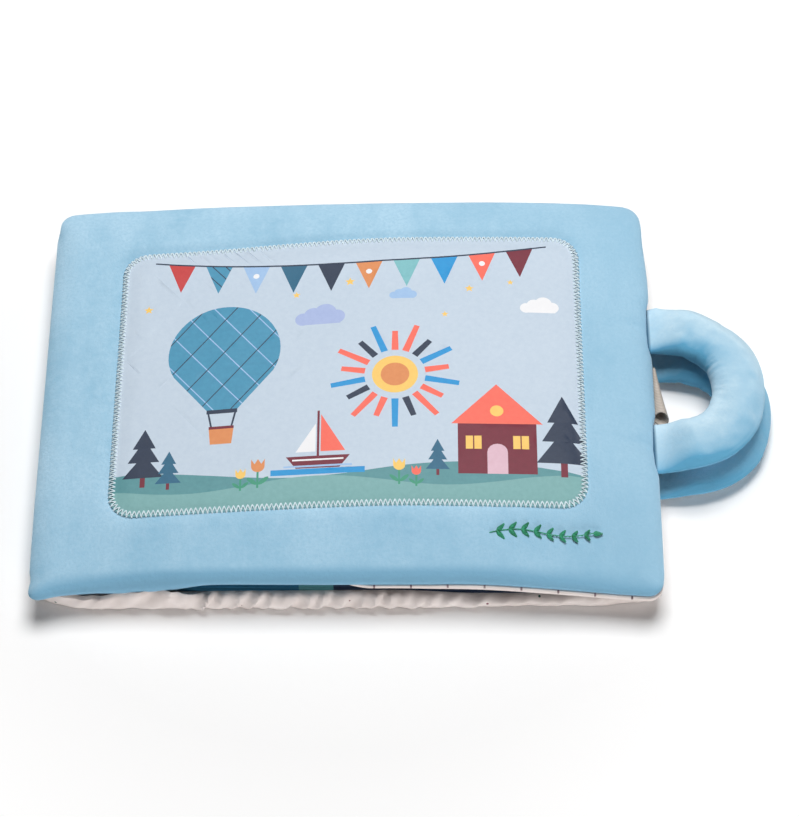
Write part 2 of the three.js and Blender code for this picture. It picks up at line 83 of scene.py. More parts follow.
# How far the front cover's front edge is drawn in, from its left corner to its right one
DRAW_IN_X = (-145, -138, -126, -103, -80, -58, -10, 43, 57, 70, 107, 134, 145)
DRAW_IN_Y = (2.0, 3.8, 5.3, 6.5, 7.2, 7.9, 7.3, 7.1, 7.2, 6.4, 3.9, 1.5, 0.6)
DRAW_IN_SOFTNESS = 7.0
SIDE_FADE = (74.0, 26.0)

# The back cover's front corners are cut round: depth, start and length of each
BACK_CORNERS = {-1: (5.6, 121.0, 26.0), 1: (2.6, 114.0, 34.0)}

# The right edge swells a little, less where a handle is sewn in, and is drawn in at its rear end
RIGHT_SWELL, RIGHT_SWELL_FADE = 1.2, 12.0
ROOT_DIP = 1.7
ROOT_PLACES = (38.5, -29.5)
ROOT_HALF = 14.5
ROOT_DIP_POWER = 6
RIGHT_DRAW_IN = 1.6
RIGHT_DRAW_REACH = (62.0, 34.0)

# The front left corner stands out as a small ear
EAR_X, EAR_Y, EAR_REACH = 2.4, 1.6, 13.0

# Heights above the floor, as in the frame
BACK_DISH = 7.0
BACK_RIM = 10.0
LEAF_PUFF = 2.8
LEAF_MARGIN = 1.0
GAP = 0.3
WELT = 2.3
EDGE_TOP = 23.0
CROWN = velour_high[2] - EDGE_TOP
CROWN_POWER = 2.6
CROWN_EDGE_POWER = 0.8
MARGIN = 16.0
MARGIN_BLEND = 12.0
HINGE_PLAIN = 27.0
HINGE_BLEND = 18.0
VELOUR = 1.6
LINING = 1.0
LEAVES = 3
SPINE_SET_IN = 3.0
SPINE_OUT = box_mm("spine_velour")[0][0] + SPINE_SET_IN
SPINE_MIDDLE = 13.0


def smooth(share):
    """A share held between 0 and 1, with a soft start and end."""
    t = np.clip(share, 0, 1)
    return t * t * (3 - 2 * t)


def rising(value, start, run):
    """0 up to a start, and 1 from the end of a run on. Most calls unpack both from one named pair."""
    return smooth((value - start) / run)


def mix(start, end, share):
    return start + (end - start) * share


def bell(distance, width, power=2):
    return np.exp(-(distance / width) ** power)


def pillow(share):
    return np.maximum(0, 1 - np.abs(share) ** CROWN_POWER) ** CROWN_EDGE_POWER


def waves(x, y, size, seed):
    """Smooth noise from about -1 to 1 over places in the plan, with features of one size."""
    x, y = np.broadcast_arrays(np.asarray(x, float), np.asarray(y, float))
    values = [noise.noise(Vector((a / size, b / size, seed))) for a, b in zip(x.ravel(), y.ravel())]
    return np.array(values).reshape(x.shape)


# Plan of the covers: rings at an inset from one rounded outline

LONG_SPANS = 110
SHORT_SPANS = 84
CORNER_SPANS = 7


def rounded_ring(half_x, half_y, radius, long_spans=LONG_SPANS, short_spans=SHORT_SPANS):
    """Points of a rounded rectangle from its front left corner on, and the sides that they are on."""
    along_x = np.linspace(-1, 1, long_spans + 1)[1:-1] * (half_x - radius)
    along_y = np.linspace(-1, 1, short_spans + 1)[1:-1] * (half_y - radius)
    rows = []

    def corner(side_x, side_y, start):
        for i in range(CORNER_SPANS + 1):
            angle = start + i / CORNER_SPANS * math.pi / 2
            x = side_x * (half_x - radius) + radius * math.cos(angle)
            y = side_y * (half_y - radius) + radius * math.sin(angle)
            rows.append((x, y, side_x, side_y))

    rows += [(x, -half_y, 0, -1) for x in along_x]
    corner(1, -1, -math.pi / 2)
    rows += [(half_x, y, 1, 0) for y in along_y]
    corner(1, 1, 0)
    rows += [(-x, half_y, 0, 1) for x in along_x]
    corner(-1, 1, math.pi / 2)
    rows += [(-half_x, -y, -1, 0) for y in along_y]
    corner(-1, -1, math.pi)
    return np.array(rows)


def front_draw_in(x):
    """How far the front cover's front edge is drawn in, beside a straight one."""
    places = [x + shift * DRAW_IN_SOFTNESS for shift in (-1, -0.5, 0, 0.5, 1)]
    return sum(np.interp(place, DRAW_IN_X, DRAW_IN_Y) for place in places) / len(places)


def rear_bow(x):
    power = np.where(x < 0, *REAR_BOW_POWERS)
    return REAR_BOW * (1 - np.abs(x / HALF_X) ** power).clip(0) ** REAR_BOW_ROUNDING


def back_corner_cut(x):
    """How much further the back cover's front edge is set back near its corners."""
    return sum(depth * rising(side * x, *reach) for side, (depth, *reach) in BACK_CORNERS.items())


def front_share(y, side_y):
    """1 along the front edge, fading out along the sides, so that a corner stays whole."""
    beside = rising(-y, *SIDE_FADE)
    return np.where(side_y < 0, 1.0, np.where(side_y == 0, beside, 0.0))


def right_swell(y):
    """How far the front cover's right edge stands out beside a straight one."""
    dip = sum(bell(y - place, ROOT_HALF, ROOT_DIP_POWER) for place in ROOT_PLACES)
    drawn = RIGHT_DRAW_IN * rising(y, *RIGHT_DRAW_REACH)
    return RIGHT_SWELL * smooth((HALF_Y - np.abs(y)) / RIGHT_SWELL_FADE) - ROOT_DIP * dip - drawn


def plan_ring(inset, kind="cover", spans=(LONG_SPANS, SHORT_SPANS)):
    """One ring of a layer: columns x, y, the unmoved x and y for reading heights, and its sides."""
    half_x, half_y = HALF_X - inset, HALF_Y - inset
    ring = rounded_ring(half_x, half_y, max(CORNER_RADIUS - inset, LEAST_RADIUS), *spans)
    x, y, side_x, side_y = ring.T
    kept = np.clip(1 - inset / MARGIN, 0, 1)
    if kind == "cover":
        ear = smooth((EAR_REACH - x - HALF_X) / EAR_REACH) * smooth((EAR_REACH - y - HALF_Y) / EAR_REACH)
        shift_x = (side_x > 0) * right_swell(y) - EAR_X * ear
        shift_y = front_share(y, side_y) * front_draw_in(x) + (side_y > 0) * rear_bow(x) - EAR_Y * ear
    else:
        shift_x = 0.0
        shift_y = front_share(y, side_y) * (BACK_SET_BACK + back_corner_cut(x))
    return np.column_stack([x + shift_x * kept, y + shift_y * kept, x, y, side_x, side_y])


# Heights of the layers. Corners of the whole stack droop, and its front edge sags on the right.

DROOP_LEFT = 3.2
DROOP_RIGHT = 2.4
DROOP_REAR = 1.2
DROOP_REACH_X = (62.0, 66.0)
DROOP_START_Y = 55.0
DROOP_REACH_Z = (3.5, 12.5)
RIM_SAG = 3.4
SAG_REACH_X = (20.0, 42.0)
SAG_END, SAG_END_RUN = 126.0, 30.0
SAG_REACH_Y = (78.0, 22.0)


def droop(x, y, z):
    """How far a point of the closed stack sinks near a corner."""
    out_x = rising(np.abs(x), *DROOP_REACH_X)
    out_y = rising(np.abs(y), DROOP_START_Y, HALF_Y - DROOP_START_Y)
    front = np.where(x < 0, DROOP_LEFT, DROOP_RIGHT)
    depth = np.where(y < 0, front, DROOP_REAR)
    return depth * out_x * out_y * rising(z, *DROOP_REACH_Z)


def front_sag(x, y):
    """1 along the right half of the front edge, where the leaves and the back cover's rim lie lower."""
    along = rising(x, *SAG_REACH_X) * smooth((SAG_END - x) / SAG_END_RUN)
    return along * rising(-y, *SAG_REACH_Y)


def margin_share(x, inset):
    from_edge = np.clip((MARGIN + MARGIN_BLEND - inset) / MARGIN_BLEND, 0, 1)
    from_hinge = np.clip((x + HALF_X - HINGE_PLAIN) / HINGE_BLEND, 0, 1)
    return smooth(from_edge) * smooth(from_hinge)


def back_inner(x, y, inset):
    return mix(BACK_DISH, BACK_RIM, margin_share(x, inset))


def leaf_height(x, inset):
    return mix(LEAF_PUFF, LEAF_MARGIN, margin_share(x, inset))


def leaf_base(level):
    """Height of a leaf's underside. One level past the last leaf gives the front cover's."""
    def height(x, y, inset):
        return back_inner(x, y, inset) + GAP + level * (leaf_height(x, inset) + GAP)

    return height


front_inner = leaf_base(LEAVES)


# Shape of the front cover's top: its filling, the picture's lean, the stitched line, dents, waves

PICTURE_X, PICTURE_Y = (picture_low[:2] + picture_high[:2]) / 2
PICTURE_HALF_X, PICTURE_HALF_Y = (picture_high[:2] - picture_low[:2]) / 2
PICTURE_RADIUS = 12.0
PICTURE_LEAN = (-3.5, 2.8)
LEAN_REACH = (-118.0, 160.0)
LEAN_EASE, LEAN_EASE_REACH = 1.0, (70.0, 60.0)
LOW_EDGE_RAISE = (4.8, 1.0)
LOW_EDGE_RUN, LOW_EDGE_REACH = 200.0, 120.0
UNDER_PANEL_SINK, SINK_REACH = 0.6, (1.0, 3.0)
STITCH_WIDTH = 3.6
GROOVE_DEPTH = 0.9
GROOVE_WIDTH = 4.2
WAVE_DEPTH, WAVE_SIZE, WAVE_SEED = 0.45, 46.0, 3.3
RIPPLE_DEPTH, RIPPLE_SIZE, RIPPLE_SEED = 0.16, 13.0, 8.1
DENTS = [(37.0, 0.9), (-32.0, 1.3)]
DENT_REACH = 24.0
DENT_WIDTH = 3.4

# The filling lifts the cover most behind its front edge and away from the spine
LIFT = 4.2
LIFT_REACH_X = (-122.0, 150.0)
LIFT_RUN_Y = 72.0
LIFT_END_X, LIFT_END_SHARE = 95.0, 0.3
REAR_LIFT, REAR_LIFT_REACH = 1.8, (60.0, 45.0)


def lean(x, y):
    """How far the picture's cloth is drawn to the rear, most at its low edge's left end."""
    drawn = mix(*PICTURE_LEAN, rising(x, *LEAN_REACH))
    drawn = drawn - LEAN_EASE * rising(x, *LEAN_EASE_REACH)
    raised = mix(*LOW_EDGE_RAISE, rising(x, LEAN_REACH[0], LOW_EDGE_RUN))
    return drawn + raised * (1 - rising(y, picture_low[1], LOW_EDGE_REACH))


def picture_inset(x, y):
    """Distance in from the picture's rounded outline, negative outside."""
    across = np.abs(x - PICTURE_X) - (PICTURE_HALF_X - PICTURE_RADIUS)
    along = np.abs(y - lean(x, y) - PICTURE_Y) - (PICTURE_HALF_Y - PICTURE_RADIUS)
    outside = np.hypot(np.maximum(across, 0), np.maximum(along, 0))
    inside = np.minimum(np.maximum(across, along), 0)
    return PICTURE_RADIUS - outside - inside


def lift(x, y):
    raised = LIFT * rising(x, *LIFT_REACH_X) * rising(y, -HALF_Y, LIFT_RUN_Y)
    eased = 1 - LIFT_END_SHARE * rising(x, LIFT_END_X, HALF_X - LIFT_END_X)
    return raised * eased + REAR_LIFT * rising(y, *REAR_LIFT_REACH)


def crown(x, y):
    """Top of the front cover's cloth."""
    x, y = np.asarray(x, float), np.asarray(y, float)
    rise = EDGE_TOP + CROWN * pillow(x / HALF_X) * pillow(y / HALF_Y) + lift(x, y)
    rise = rise - GROOVE_DEPTH * bell(picture_inset(x, y) - STITCH_WIDTH / 2, GROOVE_WIDTH)
    near_handles = rising(x, HALF_X - DENT_REACH, DENT_REACH)
    for place, depth in DENTS:
        rise = rise - depth * near_handles * bell(y - place, DENT_WIDTH)
    rise = rise + WAVE_DEPTH * waves(x, y, WAVE_SIZE, WAVE_SEED)
    return rise + RIPPLE_DEPTH * waves(x, y, RIPPLE_SIZE, RIPPLE_SEED)


# Meshes

def new_object(name, vertices, faces):
    """A mesh object from places in millimetres."""
    mesh = bpy.data.meshes.new(name)
    points = np.asarray(vertices, float) * MM
    mesh.from_pydata([tuple(p) for p in points], [], [tuple(int(i) for i in f) for f in faces])
    mesh.update()
    made = bpy.data.objects.new(name, mesh)
    bpy.context.scene.collection.objects.link(made)
    return made


def volume_of(vertices, faces):
    """Six times the volume inside closed faces, negative where they point inward."""
    total = 0.0
    for face in faces:
        a = vertices[face[0]]
        for i in range(1, len(face) - 1):
            total += np.dot(a, np.cross(vertices[face[i]], vertices[face[i + 1]]))
    return total


def outward_object(name, vertices, faces):
    """A closed mesh object whose faces point outward."""
    if volume_of(np.asarray(vertices), faces) < 0:
        faces = [tuple(reversed(f)) for f in faces]
    return new_object(name, vertices, faces)


def ring_faces(count, rings, start=0):
    """Faces between rings of points that follow each other."""
    faces = []
    for r in range(rings - 1):
        here, there = start + r * count, start + (r + 1) * count
        for j in range(count):
            k = (j + 1) % count
            faces.append((here + j, there + j, there + k, here + k))
    return faces


def tube(name, rows):
    """A closed tube from rings of points, with a flat face at both ends."""
    count = len(rows[0])
    last = (len(rows) - 1) * count
    ends = [tuple(range(count)), tuple(reversed(range(last, last + count)))]
    return outward_object(name, np.vstack(rows), ring_faces(count, len(rows)) + ends)


def lid_faces(start, count, spans):
    """Faces that close the innermost ring: strips from its front side to its rear side, and two ends."""
    side = spans[0] - 1
    rear = side + (CORNER_SPANS + 1) + (spans[1] - 1) + (CORNER_SPANS + 1)
    far = start + rear + side
    strips = [(start + i, start + i + 1, far - 2 - i, far - 1 - i) for i in range(side - 1)]
    right = [start + i for i in range(side - 1, rear + 1)]
    left = [start + i for i in range(rear + side - 1, count)] + [start]
    return [*strips, tuple(right), tuple(left)]


def ring_solid(name, rings, spans):
    """A closed mesh from rings of the cover plan: from the middle of one face out and back in."""
    count = len(rings[0])
    first = lid_faces(0, count, spans)
    second = [tuple(reversed(f)) for f in lid_faces((len(rings) - 1) * count, count, spans)]
    return outward_object(name, np.vstack(rings), ring_faces(count, len(rings)) + first + second)


def dress(made, material, crisp_angle=40):
    """Gives an object its material and smooth shading, with edges past an angle kept crisp."""
    mesh = made.data
    mesh.materials.append(material)
    mesh.polygons.foreach_set("use_smooth", [True] * len(mesh.polygons))
    mesh.set_sharp_from_angle(angle=math.radians(crisp_angle))
    return made


# Materials. Each is a small tree of nodes on the piece's own coordinates, in metres.

def srgb(red, green, blue):
    """Linear colour from the usual 0 to 255 values."""
    values = [c / 255 for c in (red, green, blue)]
    return tuple(c / 12.92 if c <= 0.04045 else ((c + 0.055) / 1.055) ** 2.4 for c in values) + (1.0,)


# VELOUR_SHADE and HANDLE_SHADE are painted shade for faces turned to the front, away from the light.
VELOUR_LIGHT = srgb(181, 216, 237)
VELOUR_DEEP = srgb(152, 196, 221)
VELOUR_SHADE = srgb(124, 174, 203)
# HANDLE_LIGHT and HANDLE_DEEP are the cover's velour painted lighter: painted light where the handles catch
# more light.
HANDLE_LIGHT = srgb(212, 236, 248)
HANDLE_DEEP = srgb(188, 222, 241)
HANDLE_SHADE = srgb(96, 166, 202)
# Painted shade in the crease where a handle's root goes under the cover's edge.
ROOT_PAINTED_SHADE = srgb(34, 84, 114)
# Painted shade of the back handle's velour, which lies in the front handle's shadow.
SHADED_HANDLE_DEEP = srgb(150, 206, 234)
# Painted sheen highlight: a pale tone for velour faces turned down, as pile seen edge-on.
VELOUR_PAINTED_SHEEN = srgb(198, 218, 232)
VELOUR_SHEEN = srgb(222, 240, 250)
CREAM = srgb(236, 228, 225)
CREAM_SHADE = srgb(222, 212, 208)
DOT_GREEN = srgb(25, 85, 75)
DOT_PLUM = srgb(110, 35, 60)
WHITE = (1.0, 1.0, 1.0, 1.0)
PRINT_THREAD = (0.25, 0.27, 0.3, 1.0)
WHITE_THREAD = (srgb(222, 238, 245), srgb(190, 212, 220))
# The teal strokes stand both for a teal thread and for painted shadow between the white stitches.
TEAL_THREAD_AND_SHADOW = (srgb(140, 184, 200), srgb(102, 150, 170))
GREEN_THREAD = (srgb(52, 158, 118), srgb(22, 112, 72))
PLUM_THREAD = (srgb(132, 92, 112), srgb(74, 30, 50))
RIBBON_BEIGE = srgb(196, 184, 172)
RIBBON_WORN = srgb(210, 199, 188)
RIBBON_GROOVE_SHADE = srgb(118, 110, 104)
PLASTIC_WHITE = (srgb(240, 239, 233), srgb(228, 226, 219))
REED_GREY = (srgb(154, 157, 159), srgb(132, 135, 138))

# Sizes of what repeats in a cloth, in metres, and its noises: scale, detail, roughness
VELOUR_BRUSH, BRUSH_STRETCH, BRUSH_TURN = (34, 3, 0.55), (1.0, 0.45, 1.0), 0.7
VELOUR_MOTTLE = (230, 3, 0.6)
VELOUR_GRAIN = (620, 4, 0.68)
VELOUR_SHADE_FULL = 0.54
COTTON_WEAVE = 0.00055
COTTON_DOT_SCALE, COTTON_DOT_SCATTER, COTTON_DOT_SIZE = 116, 0.85, 0.07
COTTON_DOTS_LEFT_OUT, COTTON_DOTS_GREEN = 0.15, 0.6
THREAD_TWIST = 0.0011
RIBBON_RIB = 0.0009


class Tree:
    """A material's node tree with short calls for the nodes that the cloths share."""

    def __init__(self, name):
        self.material = bpy.data.materials.new(name)
        self.material.use_nodes = True
        self.tree = self.material.node_tree
        self.shader = self.tree.nodes["Principled BSDF"]
        self.place = self.node("ShaderNodeTexCoord").outputs["Object"]

    def node(self, kind, **settings):
        made = self.tree.nodes.new(kind)
        for key, value in settings.items():
            setattr(made, key, value)
        return made

    def feed(self, socket, value):
        """Gives an input a number, a colour or another node's output."""
        if isinstance(value, (int, float, tuple)):
            socket.default_value = value
        else:
            self.tree.links.new(value, socket)

    def filled(self, kind, inputs, **settings):
        """A node with its inputs given by name."""
        made = self.node(kind, **settings)
        for key, value in inputs.items():
            self.feed(made.inputs[key], value)
        return made

    def scaled(self, scale, turn):
        inputs = {"Vector": self.place, "Scale": scale, "Rotation": (0, 0, turn)}
        return self.filled("ShaderNodeMapping", inputs).outputs["Vector"]

    def axes(self, place=None):
        return self.filled("ShaderNodeSeparateXYZ", {"Vector": place or self.place}).outputs

    def noise(self, scale, detail=2.0, roughness=0.5, place=None):
        inputs = {"Vector": place or self.place, "Scale": scale, "Detail": detail, "Roughness": roughness}
        return self.filled("ShaderNodeTexNoise", inputs).outputs["Fac"]

    def ramp(self, value, low, high, start=0.0, end=1.0):
        inputs = {"Value": value, "From Min": low, "From Max": high, "To Min": start, "To Max": end}
        return self.filled("ShaderNodeMapRange", inputs).outputs["Result"]

    def math(self, operation, *values):
        made = self.node("ShaderNodeMath", operation=operation)
        for socket, value in zip(made.inputs, values):
            self.feed(socket, value)
        return made.outputs[0]

    def blend(self, share, first, second, kind="MIX"):
        made = self.node("ShaderNodeMix", data_type="RGBA", blend_type=kind)
        for index, value in ((0, share), (6, first), (7, second)):
            self.feed(made.inputs[index], value)
        return made.outputs[2]

    def weave(self, pitch):
        """Height of a plain weave with one thread pitch in metres, from 0 to 1."""
        axes = self.axes()
        threads = [
            self.math("SINE", self.math("MULTIPLY", axes[key], 2 * math.pi / pitch)) for key in ("X", "Y")
        ]
        return self.ramp(self.math("MULTIPLY", *threads), -1, 1)

    def bump(self, height, strength, distance, before=None):
        inputs = {"Height": height, "Strength": strength, "Distance": distance}
        if before is not None:
            inputs["Normal"] = before
        normal = self.filled("ShaderNodeBump", inputs).outputs["Normal"]
        self.feed(self.shader.inputs["Normal"], normal)
        return normal

    def finish(self, colour, roughness, specular=0.3, sheen=0.0, sheen_roughness=0.5, tint=WHITE):
        for key, value in {
            "Base Color": colour, "Roughness": roughness, "Specular IOR Level": specular,
            "Sheen Weight": sheen, "Sheen Roughness": sheen_roughness, "Sheen Tint": tint,
        }.items():
            self.feed(self.shader.inputs[key], value)
        return self.material


def velour_material(name, light, deep, shade_colour, shade_from, across=None, creased=None):
    """Short pile: brushed patches, a fine mottle and a soft grain, with painted shade where it turns to the
    front, away from the light.

    Two ramps along X may be given: one turns it deep, the other paints the shade that falls in the crease
    where it is sewn in.
    """
    tree = Tree(name)
    brushed = tree.noise(*VELOUR_BRUSH, tree.scaled(BRUSH_STRETCH, BRUSH_TURN))
    mottle = tree.noise(*VELOUR_MOTTLE)
    grain = tree.noise(*VELOUR_GRAIN)
    colour = tree.blend(tree.ramp(brushed, 0.38, 0.64), deep, light)
    colour = tree.blend(tree.ramp(mottle, 0.35, 0.7, 0, 0.55), colour, light)
    colour = tree.blend(tree.ramp(grain, 0.38, 0.66, 0, 0.55), colour, deep)
    if across:
        colour = tree.blend(tree.ramp(tree.axes()["X"], *across), colour, deep)
    # Painted shade: faces turned to the front are blended toward the shade colour.
    facing = tree.axes(tree.node("ShaderNodeTexCoord").outputs["Normal"])
    to_front = tree.math("MULTIPLY", facing["Y"], -1.0)
    colour = tree.blend(tree.ramp(to_front, shade_from, VELOUR_SHADE_FULL), colour, shade_colour)
    # Painted sheen highlight on faces turned down.
    below = tree.math("MULTIPLY", facing["Z"], -1.0)
    colour = tree.blend(tree.ramp(below, 0.5, 0.9, 0, 0.85), colour, VELOUR_PAINTED_SHEEN)
    # Painted shade in the crease at a handle's root.
    if creased:
        colour = tree.blend(tree.ramp(tree.axes()["X"], *creased), colour, ROOT_PAINTED_SHADE)
    tree.bump(grain, 0.75, 0.0004, tree.bump(mottle, 0.35, 0.0005))
    return tree.finish(colour, 0.95, 0.12, 0.45, 0.45, VELOUR_SHEEN)


def cotton_material():
    """Cream cotton with small scattered dots and a plain weave."""
    tree = Tree("speckled_cotton")
    inputs = {"Vector": tree.place, "Scale": COTTON_DOT_SCALE, "Randomness": COTTON_DOT_SCATTER}
    cells = tree.filled("ShaderNodeTexVoronoi", inputs)
    dot = tree.math("LESS_THAN", cells.outputs["Distance"], COTTON_DOT_SIZE)
    chance = tree.filled("ShaderNodeSeparateColor", {"Color": cells.outputs["Color"]}).outputs
    kept = tree.math("GREATER_THAN", chance["Red"], COTTON_DOTS_LEFT_OUT)
    plum = tree.math("GREATER_THAN", chance["Green"], COTTON_DOTS_GREEN)
    dots = tree.blend(plum, DOT_GREEN, DOT_PLUM)
    cloth = tree.blend(tree.ramp(tree.noise(60, 3), 0.35, 0.65), CREAM_SHADE, CREAM)
    colour = tree.blend(tree.math("MULTIPLY", dot, kept), cloth, dots)
    folds = tree.bump(tree.noise(260, 3, 0.6), 0.3, 0.0004)
    tree.bump(tree.weave(COTTON_WEAVE), 0.4, 0.00012, folds)
    return tree.finish(colour, 0.9, 0.2, 0.15, 0.5)


def print_material(name, pitch, roughness, specular, sheen, crease=0.25):
    """Printed cloth. Its colours are the mesh's own attribute, over a fine weave."""
    tree = Tree(name)
    printed = tree.node("ShaderNodeAttribute", attribute_name="print").outputs["Color"]
    weave = tree.weave(pitch)
    fade = tree.ramp(tree.noise(420, 3, 0.6), 0.3, 0.7, 0, 0.16)
    colour = tree.blend(fade, printed, WHITE, "SOFT_LIGHT")
    thread = tree.ramp(weave, 0.2, 0.9, 0, 0.1)
    colour = tree.blend(thread, colour, PRINT_THREAD, "OVERLAY")
    folds = tree.bump(tree.noise(70, 3, 0.5), crease, 0.0012)
    tree.bump(weave, 0.35, 0.0001, folds)
    return tree.finish(colour, roughness, specular, sheen, 0.4)


def thread_material(name, light, dark):
    """Twisted thread with a soft shine: two tones turn about each other along it."""
    tree = Tree(name)
    inputs = {"Vector": tree.place, "Scale": 1 / (20 * THREAD_TWIST), "Distortion": 1.5}
    twist = tree.filled("ShaderNodeTexWave", inputs).outputs["Fac"]
    tone = tree.blend(tree.ramp(tree.noise(900, 2), 0.35, 0.65), dark, light)
    colour = tree.blend(tree.ramp(twist, 0.2, 0.9, 0, 0.6), tone, light)
    tree.bump(twist, 0.5, 0.0001)
    return tree.finish(colour, 0.5, 0.4, 0.2, 0.4)


def ribbon_material():
    """Grosgrain tape: close ribs across a beige band, with painted shade in the grooves between them."""
    tree = Tree("ribbon")
    turns = tree.math("MULTIPLY", tree.axes()["Y"], 2 * math.pi / RIBBON_RIB)
    ribs = tree.ramp(tree.math("SINE", turns), -1, 1)
    colour = tree.blend(tree.ramp(tree.noise(150, 3), 0.35, 0.7), RIBBON_BEIGE, RIBBON_WORN)
    # Painted shade in the grooves between the ribs.
    colour = tree.blend(tree.ramp(ribs, 0, 0.5, 0.45, 0), colour, RIBBON_GROOVE_SHADE)
    tree.bump(ribs, 0.6, 0.00015)
    return tree.finish(colour, 0.55, 0.35, 0.2, 0.4)


def moulded_material(name, colour, shade_colour, roughness):
    """Plain moulded plastic with a faint cloud and a fine grain."""
    tree = Tree(name)
    cloud = tree.blend(tree.ramp(tree.noise(90, 2), 0.3, 0.7), colour, shade_colour)
    tree.bump(tree.noise(1800, 2), 0.15, 0.0001)
    return tree.finish(cloud, roughness, 0.5)


velour = velour_material("velour", VELOUR_LIGHT, VELOUR_DEEP, VELOUR_SHADE, 0.0, (0.03, 0.14, 0.0, 0.55))
# The handles' velour is the same cloth as the cover's, painted lighter as painted light.
handle_velour = velour_material(
    "handle_velour", HANDLE_LIGHT, HANDLE_DEEP, HANDLE_SHADE, -0.22, creased=(0.1449, 0.1462, 0.9, 0)
)
# Painted shade: the back handle's copy of the velour is deeper, as it lies in the front handle's shadow.
low_handle_velour = velour_material("low_handle_velour", HANDLE_DEEP, SHADED_HANDLE_DEEP, HANDLE_SHADE, -0.3)
cotton = cotton_material()
satin = print_material("picture_satin", 0.0004, 0.5, 0.35, 0.1, 0.09)
page_cloth = print_material("page_cotton", 0.0005, 0.85, 0.2, 0.15)
white_thread = thread_material("white_thread", *WHITE_THREAD)
teal_thread = thread_material("teal_thread", *TEAL_THREAD_AND_SHADOW)
green_thread = thread_material("green_thread", *GREEN_THREAD)
plum_thread = thread_material("plum_thread", *PLUM_THREAD)
ribbon_cloth = ribbon_material()
squeaker_plastic = moulded_material("squeaker_plastic", *PLASTIC_WHITE, 0.45)
reed_plastic = moulded_material("reed_plastic", *REED_GREY, 0.35)


# Stuffed pieces swell as light cloth under inner pressure

CLOTH_SETTINGS = {
    "use_pressure": True, "uniform_pressure_force": 4.0, "mass": 0.002, "tension_stiffness": 1.0,
    "compression_stiffness": 1.0, "shear_stiffness": 0.3, "bending_stiffness": 0.002,
}
SIM_FRAMES = 20
SIM_NEAR = 6
FLOOR_REST = 0.0002


def swell(made, cap, voxel, share):
    """Swells a piece's double by simulation, and moves the piece's own vertices with it."""
    scene = bpy.context.scene
    double = bpy.data.objects.new(f"{made.name}_double", made.data.copy())
    scene.collection.objects.link(double)
    remesh = double.modifiers.new("remesh", "REMESH")
    remesh.mode, remesh.voxel_size = "VOXEL", voxel
    plain = bpy.data.meshes.new_from_object(double.evaluated_get(bpy.context.evaluated_depsgraph_get()))
    double.modifiers.clear()
    double.data = plain
    before = np.array([vertex.co[:] for vertex in plain.vertices])
    held = double.vertex_groups.new(name="held")
    for index, place in enumerate(before):
        held.add([index], float(1 - share(place)), "REPLACE")
    cloth = double.modifiers.new("cloth", "CLOTH")
    for key, value in CLOTH_SETTINGS.items():
        setattr(cloth.settings, key, value)
    cloth.settings.vertex_group_mass = "held"
    cloth.settings.effector_weights.gravity = 0
    cloth.point_cache.frame_start, cloth.point_cache.frame_end = 1, SIM_FRAMES
    for frame_number in range(1, SIM_FRAMES + 1):
        scene.frame_set(frame_number)
    swollen = double.evaluated_get(bpy.context.evaluated_depsgraph_get()).to_mesh()
    moved = np.array([vertex.co[:] for vertex in swollen.vertices]) - before
    bpy.data.objects.remove(double)
    scene.frame_set(1)
    length = np.linalg.norm(moved, axis=1, keepdims=True)
    moved *= np.minimum(1, cap / np.maximum(length, 1e-9))
    tree = KDTree(len(before))
    for index, place in enumerate(before):
        tree.insert(place, index)
    tree.balance()
    for vertex in made.data.vertices:
        near = tree.find_n(vertex.co, SIM_NEAR)
        weights = np.array([1 / (distance + voxel / 4) for _, _, distance in near])
        shift = (moved[[index for _, index, _ in near]] * weights[:, None]).sum(0) / weights.sum()
        vertex.co += Vector(shift) * float(share(vertex.co))
        vertex.co.z = max(vertex.co.z, FLOOR_REST)
    made.data.update()


# Covers. A section is a list of stations from the middle of one face, out over the rim, and back in.
# On the left the velour runs on as a flap over half of the spine, at places of its own.

ROLL_INSET = 12.0
ROLL_STEPS, ROLL_LIP_STEPS = 12, 5
ROLL_BELLY_SHARES = (0.38, 0.62)
BELLY_CHANGE_REACH = (20.0, 70.0)
CLOSING_DROP = 3.4
CLOSING_RISE, CLOSING_RISE_IN, CLOSING_RISE_OUT = 5.4, 2.2, 0.8
CLOSING_REACH_X = (62.0, 24.0)
CLOSING_REACH_Y = (70.0, 20.0)
ROLL_LIP_INSET = 1.3
UPPER_FLAP = (104.0, 8.0)
LOWER_FLAP = (97.0, 6.0)
FLAP_BLEND = 4.0
FLAP_THICKNESS = 3.2
FLAP_ROUND = 0.6
FLAP_GAP = 0.05
FLAP_STRAIGHT_SHARE = 0.5
FLAP_INNER = SPINE_OUT + FLAP_THICKNESS
FINE_SPANS = (230, 90)
CENTRE_INSETS = [106, 101, 95, 88, 81, 74, 67, 60, 54, 49, *range(45, int(ROLL_INSET) - 1, -3)]
UNDER_INSETS = [5, 8, 12, 16, 20, 24, 28, 40, 60, 80, 100, 106]


def flap_share(ring, half_length, fade):
    """1 on the stretch of a ring that runs over the spine, 0 elsewhere."""
    x, y = ring[:, 2], ring[:, 3]
    on_left = rising(-x, HALF_X - MARGIN, FLAP_BLEND)
    return on_left * smooth((half_length - np.abs(y)) / fade)


def station_height(height, ring, inset):
    return height(ring, inset) if callable(height) else np.full(len(ring), float(height))


